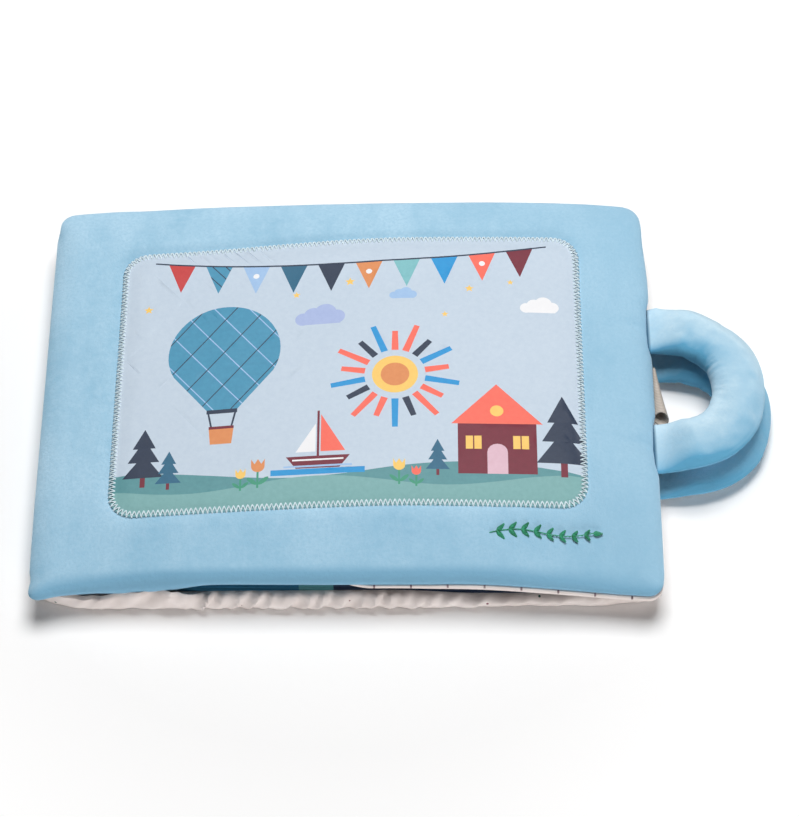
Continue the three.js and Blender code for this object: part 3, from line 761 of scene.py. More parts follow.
def lofted(name, kind, stations, material, spans=(LONG_SPANS, SHORT_SPANS), gather=None, reach=LOWER_FLAP):
    """A closed body from stations: inset, height, and where the flap lies there, if it has one."""
    rings = []
    for inset, height, *flap in stations:
        ring = plan_ring(inset, kind, spans)
        x, y = ring[:, 0], ring[:, 1]
        z = station_height(height, ring, inset)
        if flap:
            share = flap_share(ring, *reach)
            x, z = mix(x, flap[0], share), mix(z, station_height(flap[1], ring, inset), share)
        if gather:
            x, y, z = gather(ring, inset, x, y, z)
        rings.append(np.column_stack([x, y, z - droop(x, y, z)]))
    return dress(ring_solid(name, rings, spans), material)


def over_crown(ring, inset):
    x, y = ring[:, 0], ring[:, 1]
    return crown(x, y) - UNDER_PANEL_SINK * rising(picture_inset(x, y), *SINK_REACH)


def over_front_inner(rise):
    return lambda ring, inset: front_inner(ring[:, 2], ring[:, 3], inset) + rise


def belly_share(y):
    return mix(*ROLL_BELLY_SHARES, rising(y, *BELLY_CHANGE_REACH))


def closing(x, y):
    """1 to the left of the front edge, where the velour and the back cover's rim close the gap."""
    from_left = rising(-x, *CLOSING_REACH_X)
    return from_left * rising(-y, *CLOSING_REACH_Y)


def roll_station(inset, flap_x, upper, lower):
    """A station of the rolled edge from its share of the rise over the belly and below it."""
    lip = over_front_inner(WELT + GAP)
    flap_base = SPINE_MIDDLE + FLAP_ROUND

    def height(ring, inset):
        x, y = ring[:, 2], ring[:, 3]
        low = lip(ring, inset) - CLOSING_DROP * closing(x, y)
        return low + (over_crown(ring, inset) - low) * mix(upper, lower, belly_share(y))

    def flap_height(ring, inset):
        return flap_base + (over_crown(ring, inset) - flap_base) * mix(upper, lower, FLAP_STRAIGHT_SHARE)

    return inset, height, flap_x, flap_height


def front_cover_pad():
    """Velour outer of the front cover over its wadding: a crown, a rolled edge and a tucked lip."""
    stations = [(inset, over_crown) for inset in CENTRE_INSETS]
    across = ROLL_INSET - HALF_X - SPINE_OUT
    for i in range(1, ROLL_STEPS + 1):
        angle = math.pi / 2 * (1 - i / ROLL_STEPS)
        out = 1 - math.cos(angle)
        flap_x = SPINE_OUT + across * (out if i < ROLL_STEPS else 0.0)
        stations.append(roll_station(ROLL_INSET * out, flap_x, math.sin(angle), 1.0))
    for i in range(1, ROLL_LIP_STEPS + 1):
        down = i / ROLL_LIP_STEPS
        stations.append(roll_station(ROLL_LIP_INSET * down**2, SPINE_OUT, 0.0, 1 - down))
    seam, inner_top = SPINE_MIDDLE + FLAP_GAP, over_front_inner(LINING + GAP)
    stations += [
        (1.7, over_front_inner(WELT), SPINE_OUT + FLAP_ROUND, seam),
        (2.3, over_front_inner(WELT - 0.5), FLAP_INNER, seam),
        (3.2, over_front_inner(WELT - 0.9), FLAP_INNER, inner_top),
    ]
    stations += [(inset, inner_top) for inset in UNDER_INSETS]
    return lofted("front_cover_velour_pad", "cover", stations, velour, reach=UPPER_FLAP)


WELT_TUCK = 4.0
WELT_CORNER_TUCK, WELT_CORNER_REACH = 3.0, (80.0, 20.0)
WELT_RIM = 12.0
WELT_SAG, WELT_SAGS_BELOW = 1.2, 1.2
WELT_SHOWS_FROM, WELT_FADE = 12.0, 22.0
WELT_SECTION = [
    (0.9, 0.0), (0.3, 0.35), (0.0, 0.95), (0.15, 1.55), (0.7, 2.05), (1.5, 2.1), (2.3, 1.7), (3.4, 1.05),
]


def tucked_welt(ring, inset, x, y, z):
    """To the left the welt lies further in, so that the leaves show right under the velour."""
    rim = smooth(1 - inset / WELT_RIM)
    hidden = smooth((WELT_SHOWS_FROM - x) / WELT_FADE) * rim * (ring[:, 5] < 0)
    at_left = rim * (ring[:, 4] < 0) * rising(-y, *WELT_CORNER_REACH)
    right_front = rising(x, *SAG_REACH_X) * rising(-y, *SAG_REACH_Y)
    sagging = WELT_SAG * right_front * rim * (z < over_front_inner(WELT_SAGS_BELOW)(ring, inset))
    return x + WELT_TUCK * at_left, y + WELT_TUCK * hidden + WELT_CORNER_TUCK * at_left, z - sagging


def front_cover_inside():
    """Lining of the front cover, which shows as a narrow rounded welt under the velour."""
    stations = [(inset, over_front_inner(0.0)) for inset in reversed(UNDER_INSETS)]
    for inset, rise in WELT_SECTION:
        flap = (-HALF_X + inset, over_front_inner(min(rise, LINING)))
        stations.append((inset, over_front_inner(rise), *flap))
    stations += [(inset, over_front_inner(LINING)) for inset in UNDER_INSETS]
    return lofted("front_cover_cotton_lining", "cover", stations, cotton, gather=tucked_welt)


BACK_ROLL_INSET, BACK_ROLL_STEPS = 6.0, 8
BACK_BELLY_Z = 4.2
BACK_LIP_Z = VELOUR + 0.2
BACK_FOOT_Z = 0.3
BACK_FOOT_INSET, BACK_FOOT_STEPS, BACK_FOOT_POWER = 1.6, 5, 2.5
SKIN_INSET = 5.6

# Gathers of the back cover's lining: coarse folds and fine ones, slanted, full in front, fading up and in
GATHER_DEPTH, GATHER_FADE_IN = 3.3, 14.0
CLOSED_SMOOTHER = 0.45
GATHER_PITCH, GATHER_RISE, GATHER_SEED = 8.0, 28.0, 5.7
GATHER_FINE, GATHER_FINE_RISE, GATHER_FINE_SEED = 3.4, 9.0, 2.2
GATHER_SHARES = (0.75, 0.45)
GATHER_FOLD_SHARPNESS = 2.4
GATHER_SLANT = -0.6
GATHER_SIDE_SHARE, GATHER_FRONT_SHARES = 0.3, (0.35, 1.0)
GATHER_FOOT_SHARE, GATHER_FOOT_REACH = 0.45, (1.0, 6.0)
GATHER_LIFT, GATHER_LIFT_REACH = 0.45, (7.5, 2.5)
PUCKER_START_REACH = (-140.0, 40.0)
PUCKER_END, PUCKER_END_RUN = 90.0, 50.0
SIDE_SEED_STEP = 9.0


def cotton_gathers(ring, inset, x, y, z):
    """Small folds round the rim of the back cover's lining, closest along the middle of its front."""
    plain_x, plain_y, side_x, side_y = ring[:, 2:].T
    along = np.where(side_y != 0, plain_x, plain_y)
    in_front = rising(plain_x, *PUCKER_START_REACH)
    in_front = in_front * smooth((PUCKER_END - plain_x) / PUCKER_END_RUN)
    share = np.where(side_y < 0, mix(*GATHER_FRONT_SHARES, in_front), GATHER_SIDE_SHARE)
    share = share * (1 - CLOSED_SMOOTHER * closing(plain_x, plain_y))
    low = mix(GATHER_FOOT_SHARE, 1.0, rising(z, *GATHER_FOOT_REACH))
    rim = smooth(1 - inset / GATHER_FADE_IN) * low
    slanted = along + GATHER_SLANT * z
    height = side_y * SIDE_SEED_STEP + z / GATHER_RISE
    fold = 1 - GATHER_FOLD_SHARPNESS * np.abs(waves(slanted / GATHER_PITCH, height, 1.0, GATHER_SEED))
    fine = waves(slanted / GATHER_FINE, z / GATHER_FINE_RISE + side_x, 1.0, GATHER_FINE_SEED)
    out = GATHER_DEPTH * share * rim * (GATHER_SHARES[0] * fold + GATHER_SHARES[1] * fine)
    top = rising(z, *GATHER_LIFT_REACH)
    return x + side_x * out, y + side_y * out, z + GATHER_LIFT * out * top


def sagging_inner(ring, inset):
    x, y = ring[:, 2], ring[:, 3]
    return back_inner(x, y, inset) - RIM_SAG * front_sag(x, y)


def back_roll_height(share):
    """Height of the back cover's rim at a share of its rise over the belly."""
    def height(ring, inset):
        near_rim = smooth((BACK_ROLL_INSET - inset) / CLOSING_RISE_IN) * smooth(inset / CLOSING_RISE_OUT)
        risen = CLOSING_RISE * closing(ring[:, 2], ring[:, 3]) * near_rim
        return BACK_BELLY_Z + (sagging_inner(ring, inset) - BACK_BELLY_Z) * share + risen

    return height


def back_cover_inside():
    """Lining of the back cover over its wadding: a dished pad whose rim shows as the cream band."""
    stations = [(inset, sagging_inner) for inset in reversed(UNDER_INSETS[2:])]
    for i in range(BACK_ROLL_STEPS + 1):
        angle = math.pi / 2 * (1 - i / BACK_ROLL_STEPS)
        stations.append((BACK_ROLL_INSET * (1 - math.cos(angle)), back_roll_height(math.sin(angle))))
    for i in range(1, BACK_FOOT_STEPS + 1):
        down = i / BACK_FOOT_STEPS
        stations.append((BACK_FOOT_INSET * down**BACK_FOOT_POWER, mix(BACK_BELLY_Z, BACK_FOOT_Z, down)))
    stations += [(3.2, BACK_FOOT_Z / 2), (4.8, BACK_FOOT_Z)]
    stations += [(inset, BACK_LIP_Z) for inset in (5.4, 8, 30, 70, 106)]
    return lofted("back_cover_cotton_lining", "back", stations, cotton, FINE_SPANS, cotton_gathers)


def back_cover_outside():
    """Velour underside of the book, with a flap over the lower half of the spine."""
    stations = [(inset, 0.0) for inset in (106, 70, 40, 20, 10)]
    seam = SPINE_MIDDLE - FLAP_GAP
    flap_path = [
        (3.2, 0.0), (2.2, 0.15), (0.7, 0.9), (0.1, 2.2), (0.0, 5.0), (0.0, 9.0),
        (0.0, SPINE_MIDDLE - FLAP_ROUND), (FLAP_ROUND, seam), (FLAP_THICKNESS, seam),
        (FLAP_THICKNESS, 8.0), (FLAP_THICKNESS, 3.2), (FLAP_THICKNESS + 2.4, VELOUR + 0.1),
    ]
    rim = VELOUR / 2
    for i, (out, height) in enumerate(flap_path):
        angle = math.pi * (i / (len(flap_path) - 1) - 0.5)
        inset = SKIN_INSET + rim * (1 - math.cos(angle))
        stations.append((inset, rim + rim * math.sin(angle), SPINE_OUT + out, height))
    stations += [(inset, VELOUR) for inset in (8, 20, 40, 70, 106)]
    return lofted("back_cover_velour_skin", "back", stations, velour)


front_pad = front_cover_pad()
front_lining = front_cover_inside()
back_pad = back_cover_inside()
back_skin = back_cover_outside()


# Printed cloth. A print is a list of shapes, each a colour, an outline and at times an outline it stays in.

INK = {
    "ground": srgb(194, 209, 224), "hill": srgb(122, 172, 172), "hill_dark": srgb(88, 146, 152),
    "navy": srgb(38, 52, 75), "teal": srgb(70, 146, 180), "teal_dark": srgb(40, 100, 130),
    "plum": srgb(115, 30, 50), "coral": srgb(248, 108, 90), "red": srgb(198, 62, 62),
    "blue": srgb(32, 148, 212), "light_blue": srgb(158, 192, 230), "aqua": srgb(124, 188, 194),
    "orange": srgb(222, 140, 85), "yellow": srgb(248, 202, 104), "pink": srgb(222, 184, 198),
    "periwinkle": srgb(168, 184, 224), "white": srgb(240, 240, 242), "green": srgb(60, 150, 120),
    "sky": srgb(190, 214, 236), "page_teal": srgb(116, 167, 174), "page_blue": srgb(76, 151, 184),
    "page_grey": srgb(150, 186, 196), "page_navy": srgb(38, 52, 75),
}

# Motifs, drawn in shares of their size
CLOUD_PUFFS = [(-0.95, 0.05, 0.42), (-0.4, 0.3, 0.5), (0.25, 0.42, 0.6), (0.85, 0.12, 0.46)]
CLOUD_BASE = [(-1.1, -0.35), (1.05, -0.35), (1.2, 0.1), (-1.2, 0.1)]
BALLOON_DOME = [(math.cos(a), 1.04 * math.sin(a)) for a in np.radians(np.linspace(-28, 208, 40))]
BALLOON_NECK = [(-0.26, -1.32), (0.26, -1.32)]
BALLOON_BAND = [(-0.27, -1.34), (0.27, -1.34)]
BALLOON_ROPES = [[(side * 0.24, -1.36), (side * 0.17, -1.72)] for side in (-1, 1)]
BALLOON_BASKET = [(-0.22, -1.7), (0.22, -1.7), (0.187, -2.06), (-0.187, -2.06)]
PINE_TIERS, PINE_TIER_HEIGHT = [(0.16, 0.28), (0.42, 0.22), (0.66, 0.16)], 0.4
BOAT_HULL = [(-1, 0), (1, 0), (0.68, -0.45), (-0.68, -0.45)]
BOAT_STRIPE = [(-0.8, -0.14), (0.8, -0.14)]
BOAT_MAST = [(0, 0), (0, 1.75)]
BOAT_SAILS = [("coral", 1, 0.85, 1.6), ("white", -1, 0.7, 1.25)]
BOAT_BOOM, BOAT_SAIL_GAP = 0.16, 1.2
FLOWER_TIPS = [(0.2, 1), (0.1, 0.82), (0, 1), (-0.1, 0.82), (-0.2, 1)]


def traced(x, y, size, points):
    """Places that are given in shares of a size about a middle."""
    return [(x + a * size, y + b * size) for a, b in points]


def rectangle(left, right, low, high):
    return [(left, low), (right, low), (right, high), (left, high)]


def ellipse(x, y, radius_x, radius_y=None, turn=0.0, steps=36):
    radius_y = radius_x if radius_y is None else radius_y
    points = []
    for i in range(steps):
        angle = 2 * math.pi * i / steps
        a, b = radius_x * math.cos(angle), radius_y * math.sin(angle)
        points.append((a * math.cos(turn) - b * math.sin(turn), a * math.sin(turn) + b * math.cos(turn)))
    return traced(x, y, 1.0, points)


def bar(start, end, width, end_width=None):
    """A straight stroke between two places, which may taper."""
    end_width = width if end_width is None else end_width
    (x0, y0), (x1, y1) = start, end
    length = math.hypot(x1 - x0, y1 - y0)
    nx, ny = -(y1 - y0) / length / 2, (x1 - x0) / length / 2
    return [
        (x0 + nx * width, y0 + ny * width), (x1 + nx * end_width, y1 + ny * end_width),
        (x1 - nx * end_width, y1 - ny * end_width), (x0 - nx * width, y0 - ny * width),
    ]


def arc_points(x, y, radius, start, end, steps=16):
    angles = np.radians(np.linspace(start, end, steps + 1))
    return [(x + radius * math.cos(a), y + radius * math.sin(a)) for a in angles]


def disc(colour, x, y, radius):
    return [(colour, ellipse(x, y, radius))]


def stroke(colour, x0, y0, x1, y1, width):
    return [(colour, bar((x0, y0), (x1, y1), width))]


def star(colour, x, y, radius):
    """A star of five points."""
    outline = []
    for i in range(10):
        reach = radius if i % 2 == 0 else radius * 0.45
        angle = math.radians(90 + 36 * i)
        outline.append((x + reach * math.cos(angle), y + reach * math.sin(angle)))
    return [(colour, outline)]


def cloud(colour, x, y, size):
    """Puffs over a flat base."""
    shapes = [(colour, ellipse(x + a * size, y + b * size, r * size)) for a, b, r in CLOUD_PUFFS]
    return [*shapes, (colour, traced(x, y, size, CLOUD_BASE))]


def check_lines(colour, x, y, reach, pitch, width, degrees, clip):
    """Parallel strokes over a shape, kept inside its outline."""
    shapes = []
    turn = math.radians(degrees)
    across = (math.cos(turn), math.sin(turn))
    along = (-across[1], across[0])
    count = int(reach / pitch)
    for i in range(-count, count + 1):
        middle = (x + across[0] * i * pitch, y + across[1] * i * pitch)
        ends = [traced(*middle, side * reach, [along])[0] for side in (-1, 1)]
        shapes.append((colour, bar(*ends, width), clip))
    return shapes


def balloon(x, y, size):
    """A hot-air balloon with a diagonal check, a band, two ropes and a basket."""
    envelope = traced(x, y, size, BALLOON_DOME + BALLOON_NECK)
    shapes = [("teal", envelope)]
    for colour, width, degrees in (("light_blue", 0.55, 38), ("navy", 0.5, -38)):
        shapes += check_lines(colour, x, y, size * 1.5, size * 0.46, width, degrees, envelope)
    shapes.append(("navy", bar(*traced(x, y, size, BALLOON_BAND), 2.4)))
    shapes += [("navy", bar(*traced(x, y, size, rope), 0.9)) for rope in BALLOON_ROPES]
    basket = traced(x, y, size, BALLOON_BASKET)
    return [*shapes, ("orange", basket), ("plum", bar(*basket[:2], 1.6))]


def sun(x, y, radius, rays, colours, inner, outer, width):
    """A disc in two tones with tapered rays of two lengths."""
    shapes = []
    for i in range(rays):
        angle = 2 * math.pi * (i + 0.5) / rays
        reaches = (inner, outer * (1.0 if i % 2 else 0.84))
        ends = [(x + reach * math.cos(angle), y + reach * math.sin(angle)) for reach in reaches]
        shapes.append((colours[i % len(colours)], bar(*ends, width, width * 0.8)))
    return shapes + disc("yellow", x, y, radius) + disc("orange", x, y, radius * 0.62)


def pine(colour, x, y, height):
    shapes = stroke("plum", x, y, x, y + 0.25 * height, 0.07 * height)
    for low, half in PINE_TIERS:
        tier = [(-half, low), (half, low), (0, min(1.0, low + PINE_TIER_HEIGHT))]
        shapes.append((colour, traced(x, y, height, tier)))
    return shapes


def house(wall, roof, x, y, width, height):
    """A gabled house with an arched door, two windows and a round one."""
    half, top, door, pane = width / 2, y + height, 0.13 * width, 0.1 * width
    arch = arc_points(x, y + 0.42 * height, door, 0, 180, 8)
    shapes = [
        (wall, rectangle(x - half, x + half, y, top)),
        (roof, [(x - half - 3, top), (x + half + 3, top), (x, top + 0.62 * width)]),
        ("pink", [(x - door, y), (x + door, y), (x + door, y + 0.42 * height), *arch]),
    ]
    for side in (-1, 1):
        cx, cy = x + side * 0.3 * width, y + 0.62 * height
        shapes.append(("yellow", rectangle(cx - pane, cx + pane, cy - pane, cy + pane)))
        shapes += stroke(wall, cx, cy - pane, cx, cy + pane, 0.6)
    return shapes + disc("yellow", x, top + 0.2 * width, 0.085 * width)


def boat(colour, x, y, size):
    """A sailing boat with a striped hull and two sails."""
    shapes = [
        (colour, traced(x, y, size, BOAT_HULL)), ("white", bar(*traced(x, y, size, BOAT_STRIPE), 0.9)),
        (colour, bar(*traced(x, y, size, BOAT_MAST), 1.1)),
    ]
    boom = y + BOAT_BOOM * size
    for sail, side, foot, top in BOAT_SAILS:
        luff = x + side * BOAT_SAIL_GAP
        shapes.append((sail, [(luff, boom), (x + side * foot * size, boom), (luff, y + top * size)]))
    return shapes


def flower(colour, x, y, height):
    """A tulip with two leaves."""
    shapes = stroke("green", x, y, x, y + 0.62 * height, 1.0)
    for side in (-1, 1):
        place = (x + side * 0.17 * height, y + 0.24 * height)
        shapes.append(("green", ellipse(*place, 0.19 * height, 0.07 * height, side * 0.7, 14)))
    cup = arc_points(x, y + 0.74 * height, 0.2 * height, 180, 360, 10)
    return [*shapes, (colour, cup + traced(x, y, height, FLOWER_TIPS))]


def flower_row(colours, left, step, low, stagger, height, growth):
    shapes = []
    for i, colour in enumerate(colours):
        shapes += flower(colour, left + step * i, low + stagger * (i % 2), height + growth * ((i * 2) % 3))
    return shapes


def fish(x, y, size, body, fin, side):
    """A fish with a tail, a gill line and an eye, headed to one side."""
    gill_x, gill_start = x + side * 0.2 * size, 115 if side > 0 else -65
    arcs = [arc_points(gill_x, y, 0.47 * size, gill_start, gill_start + 130),
            arc_points(gill_x, y, 0.37 * size, gill_start + 130, gill_start)]
    tail = [(-0.8 * side, 0), (-1.5 * side, 0.5), (-1.5 * side, -0.5)]
    return [
        (body, ellipse(x, y, size, 0.52 * size)), (fin, traced(x, y, size, tail)), (fin, arcs[0] + arcs[1]),
        ("white", ellipse(x + side * 0.58 * size, y + 0.1 * size, 0.13 * size, steps=16)),
        ("navy", ellipse(x + side * 0.6 * size, y + 0.1 * size, 0.065 * size, steps=12)),
    ]


def bubbles(count, left, step, y, swing):
    places = [(left + step * i, y + swing * math.sin(i * 1.9), 2.2 + i % 3) for i in range(count)]
    return [("white", ellipse(*place, steps=16)) for place in places]


def hills(colour, span, base, rise, humps, phase):
    """Rolling ground between two sides, down to a low edge."""
    low, left, right = span
    xs = np.linspace(left, right, 60)
    top = [(x, base + rise * math.sin(humps * math.pi * (x - left) / (right - left) + phase)) for x in xs]
    return [(colour, [(left, low), (right, low), *reversed(top)])]


def bunting(x0, x1, y, sag, colours, size):
    """Pennants on a string between two places."""
    middle, half, step = (x0 + x1) / 2, (x1 - x0) / 2, (x1 - x0) / len(colours)

    def hang(x, drop=0.0):
        return x, y - sag * (1 - ((x - middle) / half) ** 2) - drop

    xs = np.linspace(x0 - 4, x1 + 4, 40)
    string = [hang(x, -0.45) for x in xs] + [hang(x, 0.45) for x in reversed(xs)]
    shapes = []
    for i, colour in enumerate(colours):
        x = x0 + step * (i + 0.5)
        flag = [hang(x - 0.36 * step), hang(x + 0.36 * step), hang(x, size)]
        shapes.append((colour, flag))
        if colour == "teal":
            shapes += check_lines("navy", x, y - sag, size * 1.4, 4.6, 0.5, 40, flag)
        if i % 3 == 2:
            shapes.append(("white", ellipse(*hang(x, 0.36 * size), 1.5, steps=14), flag))
    return [*shapes, ("navy", string)]


def drawn(*rows):
    """All shapes of a scene, from rows of a motif and its sizes. Later ones cover earlier ones."""
    return [shape for motif, *sizes in rows for shape in motif(*sizes)]


# Scenes, in millimetres from the middle of their cloth. A span is the low edge and the two sides.

COVER_SPAN, PAGE_SPAN, INNER_SPAN = (-90, -125, 125), (-120, -150, 150), (-95, -120, 120)
PENNANTS = ("red", "teal", "light_blue", "teal_dark", "navy", "orange", "aqua", "blue", "coral", "plum")
COVER_STARS = ((0, 52, 2.6), (-26, 46, 2.0), (58, 46, 2.3), (78, 50, 1.7), (-98, 44, 2.4), (46, 30, 1.8))
NIGHT_STARS = (
    (-100, 70, 6), (-62, 30, 4), (-20, 66, 5), (20, 24, 4), (-112, 6, 4),
    (32, 74, 4), (112, 80, 5), (-34, -8, 4), (98, -2, 4),
)
cover_scene = drawn(
    (hills, "hill_dark", COVER_SPAN, -60, 3.5, 3.2, 0.6), (hills, "hill", COVER_SPAN, -66, 3.0, 4.1, 2.2),
    (bunting, -92, 92, 72, 8, PENNANTS, 17),
    (cloud, "periwinkle", -14, 30, 9), (cloud, "light_blue", 26, 42, 5), (cloud, "white", 92, 34, 7),
    (balloon, -60, 14, 27), (pine, "navy", -96, -64, 34), (pine, "teal_dark", -84, -66, 22),
    (sun, 22, -6, 11, 18, ("coral", "blue", "navy", "coral"), 14.5, 31, 3.4),
    (house, "plum", "coral", 70, -63, 37, 28),
    (pine, "navy", 101, -64, 46), (pine, "teal_dark", 42, -64, 20), (boat, "plum", -14, -52, 15),
    (stroke, "blue", -36, -60.5, 8, -60.5, 3.2), (stroke, "light_blue", -30, -57.6, 2, -57.6, 1.0),
    (flower, "orange", -42, -68, 16), (flower, "yellow", -50, -69, 12),
    (flower, "yellow", 24, -69, 14), (flower, "coral", 32, -70, 11),
    *[(star, "yellow", *place) for place in COVER_STARS],
)
night_page = drawn(
    (hills, "teal_dark", PAGE_SPAN, -72, 7, 2.4, 0.4), (hills, "page_teal", PAGE_SPAN, -86, 6, 3.2, 2.0),
    (disc, "yellow", 70, 44, 23), (disc, "page_navy", 80, 50, 20),
    *[(star, "white" if radius == 4 else "yellow", x, y, radius) for x, y, radius in NIGHT_STARS],
    (house, "coral", "plum", -60, -70, 46, 34), (pine, "hill", 20, -76, 50), (pine, "aqua", 52, -80, 36),
)
sea_page = drawn(
    (hills, "teal_dark", PAGE_SPAN, -40, 4, 7.0, 0.0), (hills, "navy", PAGE_SPAN, -72, 4, 8.0, 1.0),
    (fish, -70, -58, 17, "coral", "orange", 1), (fish, 20, -84, 13, "yellow", "orange", -1),
    (fish, 88, -56, 12, "light_blue", "white", 1), (boat, "plum", 0, -18, 40),
    (cloud, "white", -84, 58, 17), (cloud, "light_blue", 84, 68, 14),
)
hill_page = drawn(
    (hills, "hill_dark", PAGE_SPAN, -22, 16, 2.2, 0.4), (hills, "green", PAGE_SPAN, -58, 9, 3.4, 2.0),
    (house, "white", "red", -40, -36, 56, 40), (pine, "teal_dark", 58, -46, 66),
    (pine, "navy", 92, -52, 46), (cloud, "white", -88, 62, 16), (cloud, "white", 62, 70, 12),
)
garden_page = drawn(
    (hills, "coral", PAGE_SPAN, -66, 5, 4.0, 0.0),
    (flower_row, ("white", "yellow", "pink", "red", "white", "yellow", "pink"), -96, 32, -72, 6, 62, 14),
    (sun, 0, 62, 18, 16, ("yellow", "white"), 23, 36, 4),
)
sky_page = drawn(
    (balloon, -56, 12, 36), (cloud, "white", 54, 48, 22), (cloud, "periwinkle", 86, -40, 16),
    (cloud, "white", -106, -70, 12), (sun, 96, 84, 12, 14, ("coral", "yellow"), 16, 26, 3),
    (bunting, -20, 120, -74, 8, ("red", "aqua", "orange", "teal", "yellow", "navy"), 18),
)
fish_page = drawn(
    (fish, -80, 56, 20, "yellow", "orange", 1), (fish, 10, 66, 15, "coral", "red", -1),
    (fish, 88, 40, 18, "white", "periwinkle", 1), (fish, -40, 4, 17, "orange", "yellow", -1),
    (fish, 54, -14, 22, "navy", "aqua", -1), (fish, -92, -50, 15, "light_blue", "white", 1),
    (fish, 0, -62, 19, "coral", "yellow", 1), (fish, 94, -74, 14, "yellow", "white", -1),
    (bubbles, 14, -118, 18, -20, 46),
)
inner_scene = drawn(
    (hills, "aqua", INNER_SPAN, -44, 7, 2.6, 0.5), (hills, "hill", INNER_SPAN, -60, 5, 3.6, 2.1),
    (sun, 56, 34, 13, 16, ("coral", "orange"), 17, 30, 3.2), (cloud, "light_blue", -50, 40, 15),
    (flower_row, ("red", "yellow", "navy", "orange", "teal"), -84, 30, -60, 5, 30, 0),
    (pine, "navy", 88, -56, 50),
)


def inside_polygon(points, polygon):
    """Which points lie inside a closed outline."""
    x, y = points[:, 0], points[:, 1]
    inside = np.zeros(len(points), bool)
    px, py = np.array(polygon).T
    for ax, ay, bx, by in zip(px, py, np.roll(px, -1), np.roll(py, -1)):
        if ay != by:
            crosses = (ay > y) != (by > y)
            inside ^= crosses & (x < (bx - ax) * (y - ay) / (by - ay) + ax)
    return inside


def slab_plan(outline, placed, spacing):
    """Points and triangles over an outline that follow the placed shapes and a grid between them."""
    low, high = outline.min(0), outline.max(0)
    xs, ys = (np.arange(low[i] + spacing / 2, high[i], spacing) for i in (0, 1))
    grid = np.array([(x, y) for y in ys for x in xs])
    points, edges = [], []
    for polygon in [outline] + [polygon for _, polygon, _ in placed]:
        start, count = len(points), len(polygon)
        points += [Vector(p) for p in polygon]
        edges += [(start + i, start + (i + 1) % count) for i in range(count)]
    points += [Vector(p) for p in grid[inside_polygon(grid, outline)]]
    flat, _, triangles, *_ = delaunay_2d_cdt(points, edges, [], 0, 1e-4)
    flat, triangles = np.array([tuple(p) for p in flat]), np.array(triangles)
    triangles = triangles[inside_polygon(flat[triangles].mean(1), outline)]
    used = np.unique(triangles)
    renumber = np.full(len(flat), -1)
    renumber[used] = np.arange(len(used))
    return flat[used], renumber[triangles]


def printed_slab(name, outline, ground, shapes, top, bottom, spacing, material, centre=(0.0, 0.0)):
    """A closed slab of cloth whose faces follow the outlines of its print and carry its colours."""
    outline, centre = np.array(outline), np.array(centre)
    placed = [(colour, np.array(polygon) + centre, clip) for colour, polygon, *clip in shapes]
    flat, triangles = slab_plan(outline, placed, spacing)
    middles = flat[triangles].mean(1)
    colours = np.tile(np.array(INK[ground]), (len(triangles), 1))
    for colour, polygon, clips in placed:
        inside = inside_polygon(middles, polygon)
        for clip in clips:
            inside &= inside_polygon(middles, np.array(clip) + centre)
        colours[inside] = INK[colour]
    count = len(flat)
    x, y = flat.T
    vertices = np.vstack([np.column_stack([x, y, height(x, y)]) for height in (top, bottom)])
    owner = {edge: i for i, (a, b, c) in enumerate(triangles) for edge in ((a, b), (b, c), (c, a))}
    rim = [(a, b) for a, b in owner if (b, a) not in owner]
    faces = [tuple(t) for t in triangles] + [(count + c, count + b, count + a) for a, b, c in triangles]
    faces += [(b, a, count + a, count + b) for a, b in rim]
    face_colours = np.vstack([colours, colours, colours[[owner[edge] for edge in rim]]])
    made = new_object(name, vertices, faces)
    layer = made.data.attributes.new("print", "FLOAT_COLOR", "CORNER")
    corners = np.array([len(f) for f in faces])
    layer.data.foreach_set("color", np.repeat(face_colours, corners, axis=0).astype(np.float32).ravel())
    return dress(made, material)


# Leaves: each is two printed halves that meet halfway up

LEAF_SET_BACKS = {"front": 9.0, "rear": 6.0, "right": 6.0}
LEAF_HINGE_START = 11.0
LEAF_HINGE_STEP = 4.0
LEAF_OVERRUN = 0.6
LEAF_CORNER = 9.0
LEAF_EDGE_SHARE, LEAF_EDGE_ROUND = 0.3, 2.5
LEAF_HALF_GAP = 0.02
LEAF_GRID = 6.5
LEAF_DRAWN, LEAF_DRAWN_REACH, LEAF_DRAWN_BAND = 3.0, (72.0, 25.0), 4.0
HEM_TEAL_X, HEM_NAVY_X = -22.0, -6.0
HEM_DEPTH, HEM_OVERRUN = 7.0, 2.0
PAGES = [
    ("page_navy", night_page, "page_grey", fish_page),
    ("page_teal", hill_page, "orange", garden_page),
    ("light_blue", sky_page, "page_blue", sea_page),
]


def placed_outline(left, right, front, rear, radius, spans=(64, 48)):
    """A rounded rectangle between four sides."""
    ring = rounded_ring((right - left) / 2, (rear - front) / 2, radius, *spans)
    return ring[:, :2] + np.array([(left + right) / 2, (front + rear) / 2])


def leaf_sides(level):
    left = -HALF_X + LEAF_HINGE_START - level * LEAF_HINGE_STEP - LEAF_OVERRUN
    right = HALF_X - LEAF_SET_BACKS["right"]
    return left, right, -HALF_Y + LEAF_SET_BACKS["front"], HALF_Y - LEAF_SET_BACKS["rear"]


def leaf_inset(level, x, y):
    """How far in from the plain outline a place on a leaf counts, which sets the heights there."""
    left, right, front, rear = leaf_sides(level)
    insets = []
    for reach, set_back in (
        (x + HALF_X, left + HALF_X), (HALF_X - x, HALF_X - right),
        (y + HALF_Y, front + HALF_Y), (HALF_Y - y, HALF_Y - rear),
    ):
        insets.append(np.where(reach < MARGIN, (reach - set_back) / (1 - set_back / MARGIN), reach))
    return np.maximum(np.minimum.reduce(insets), 0)


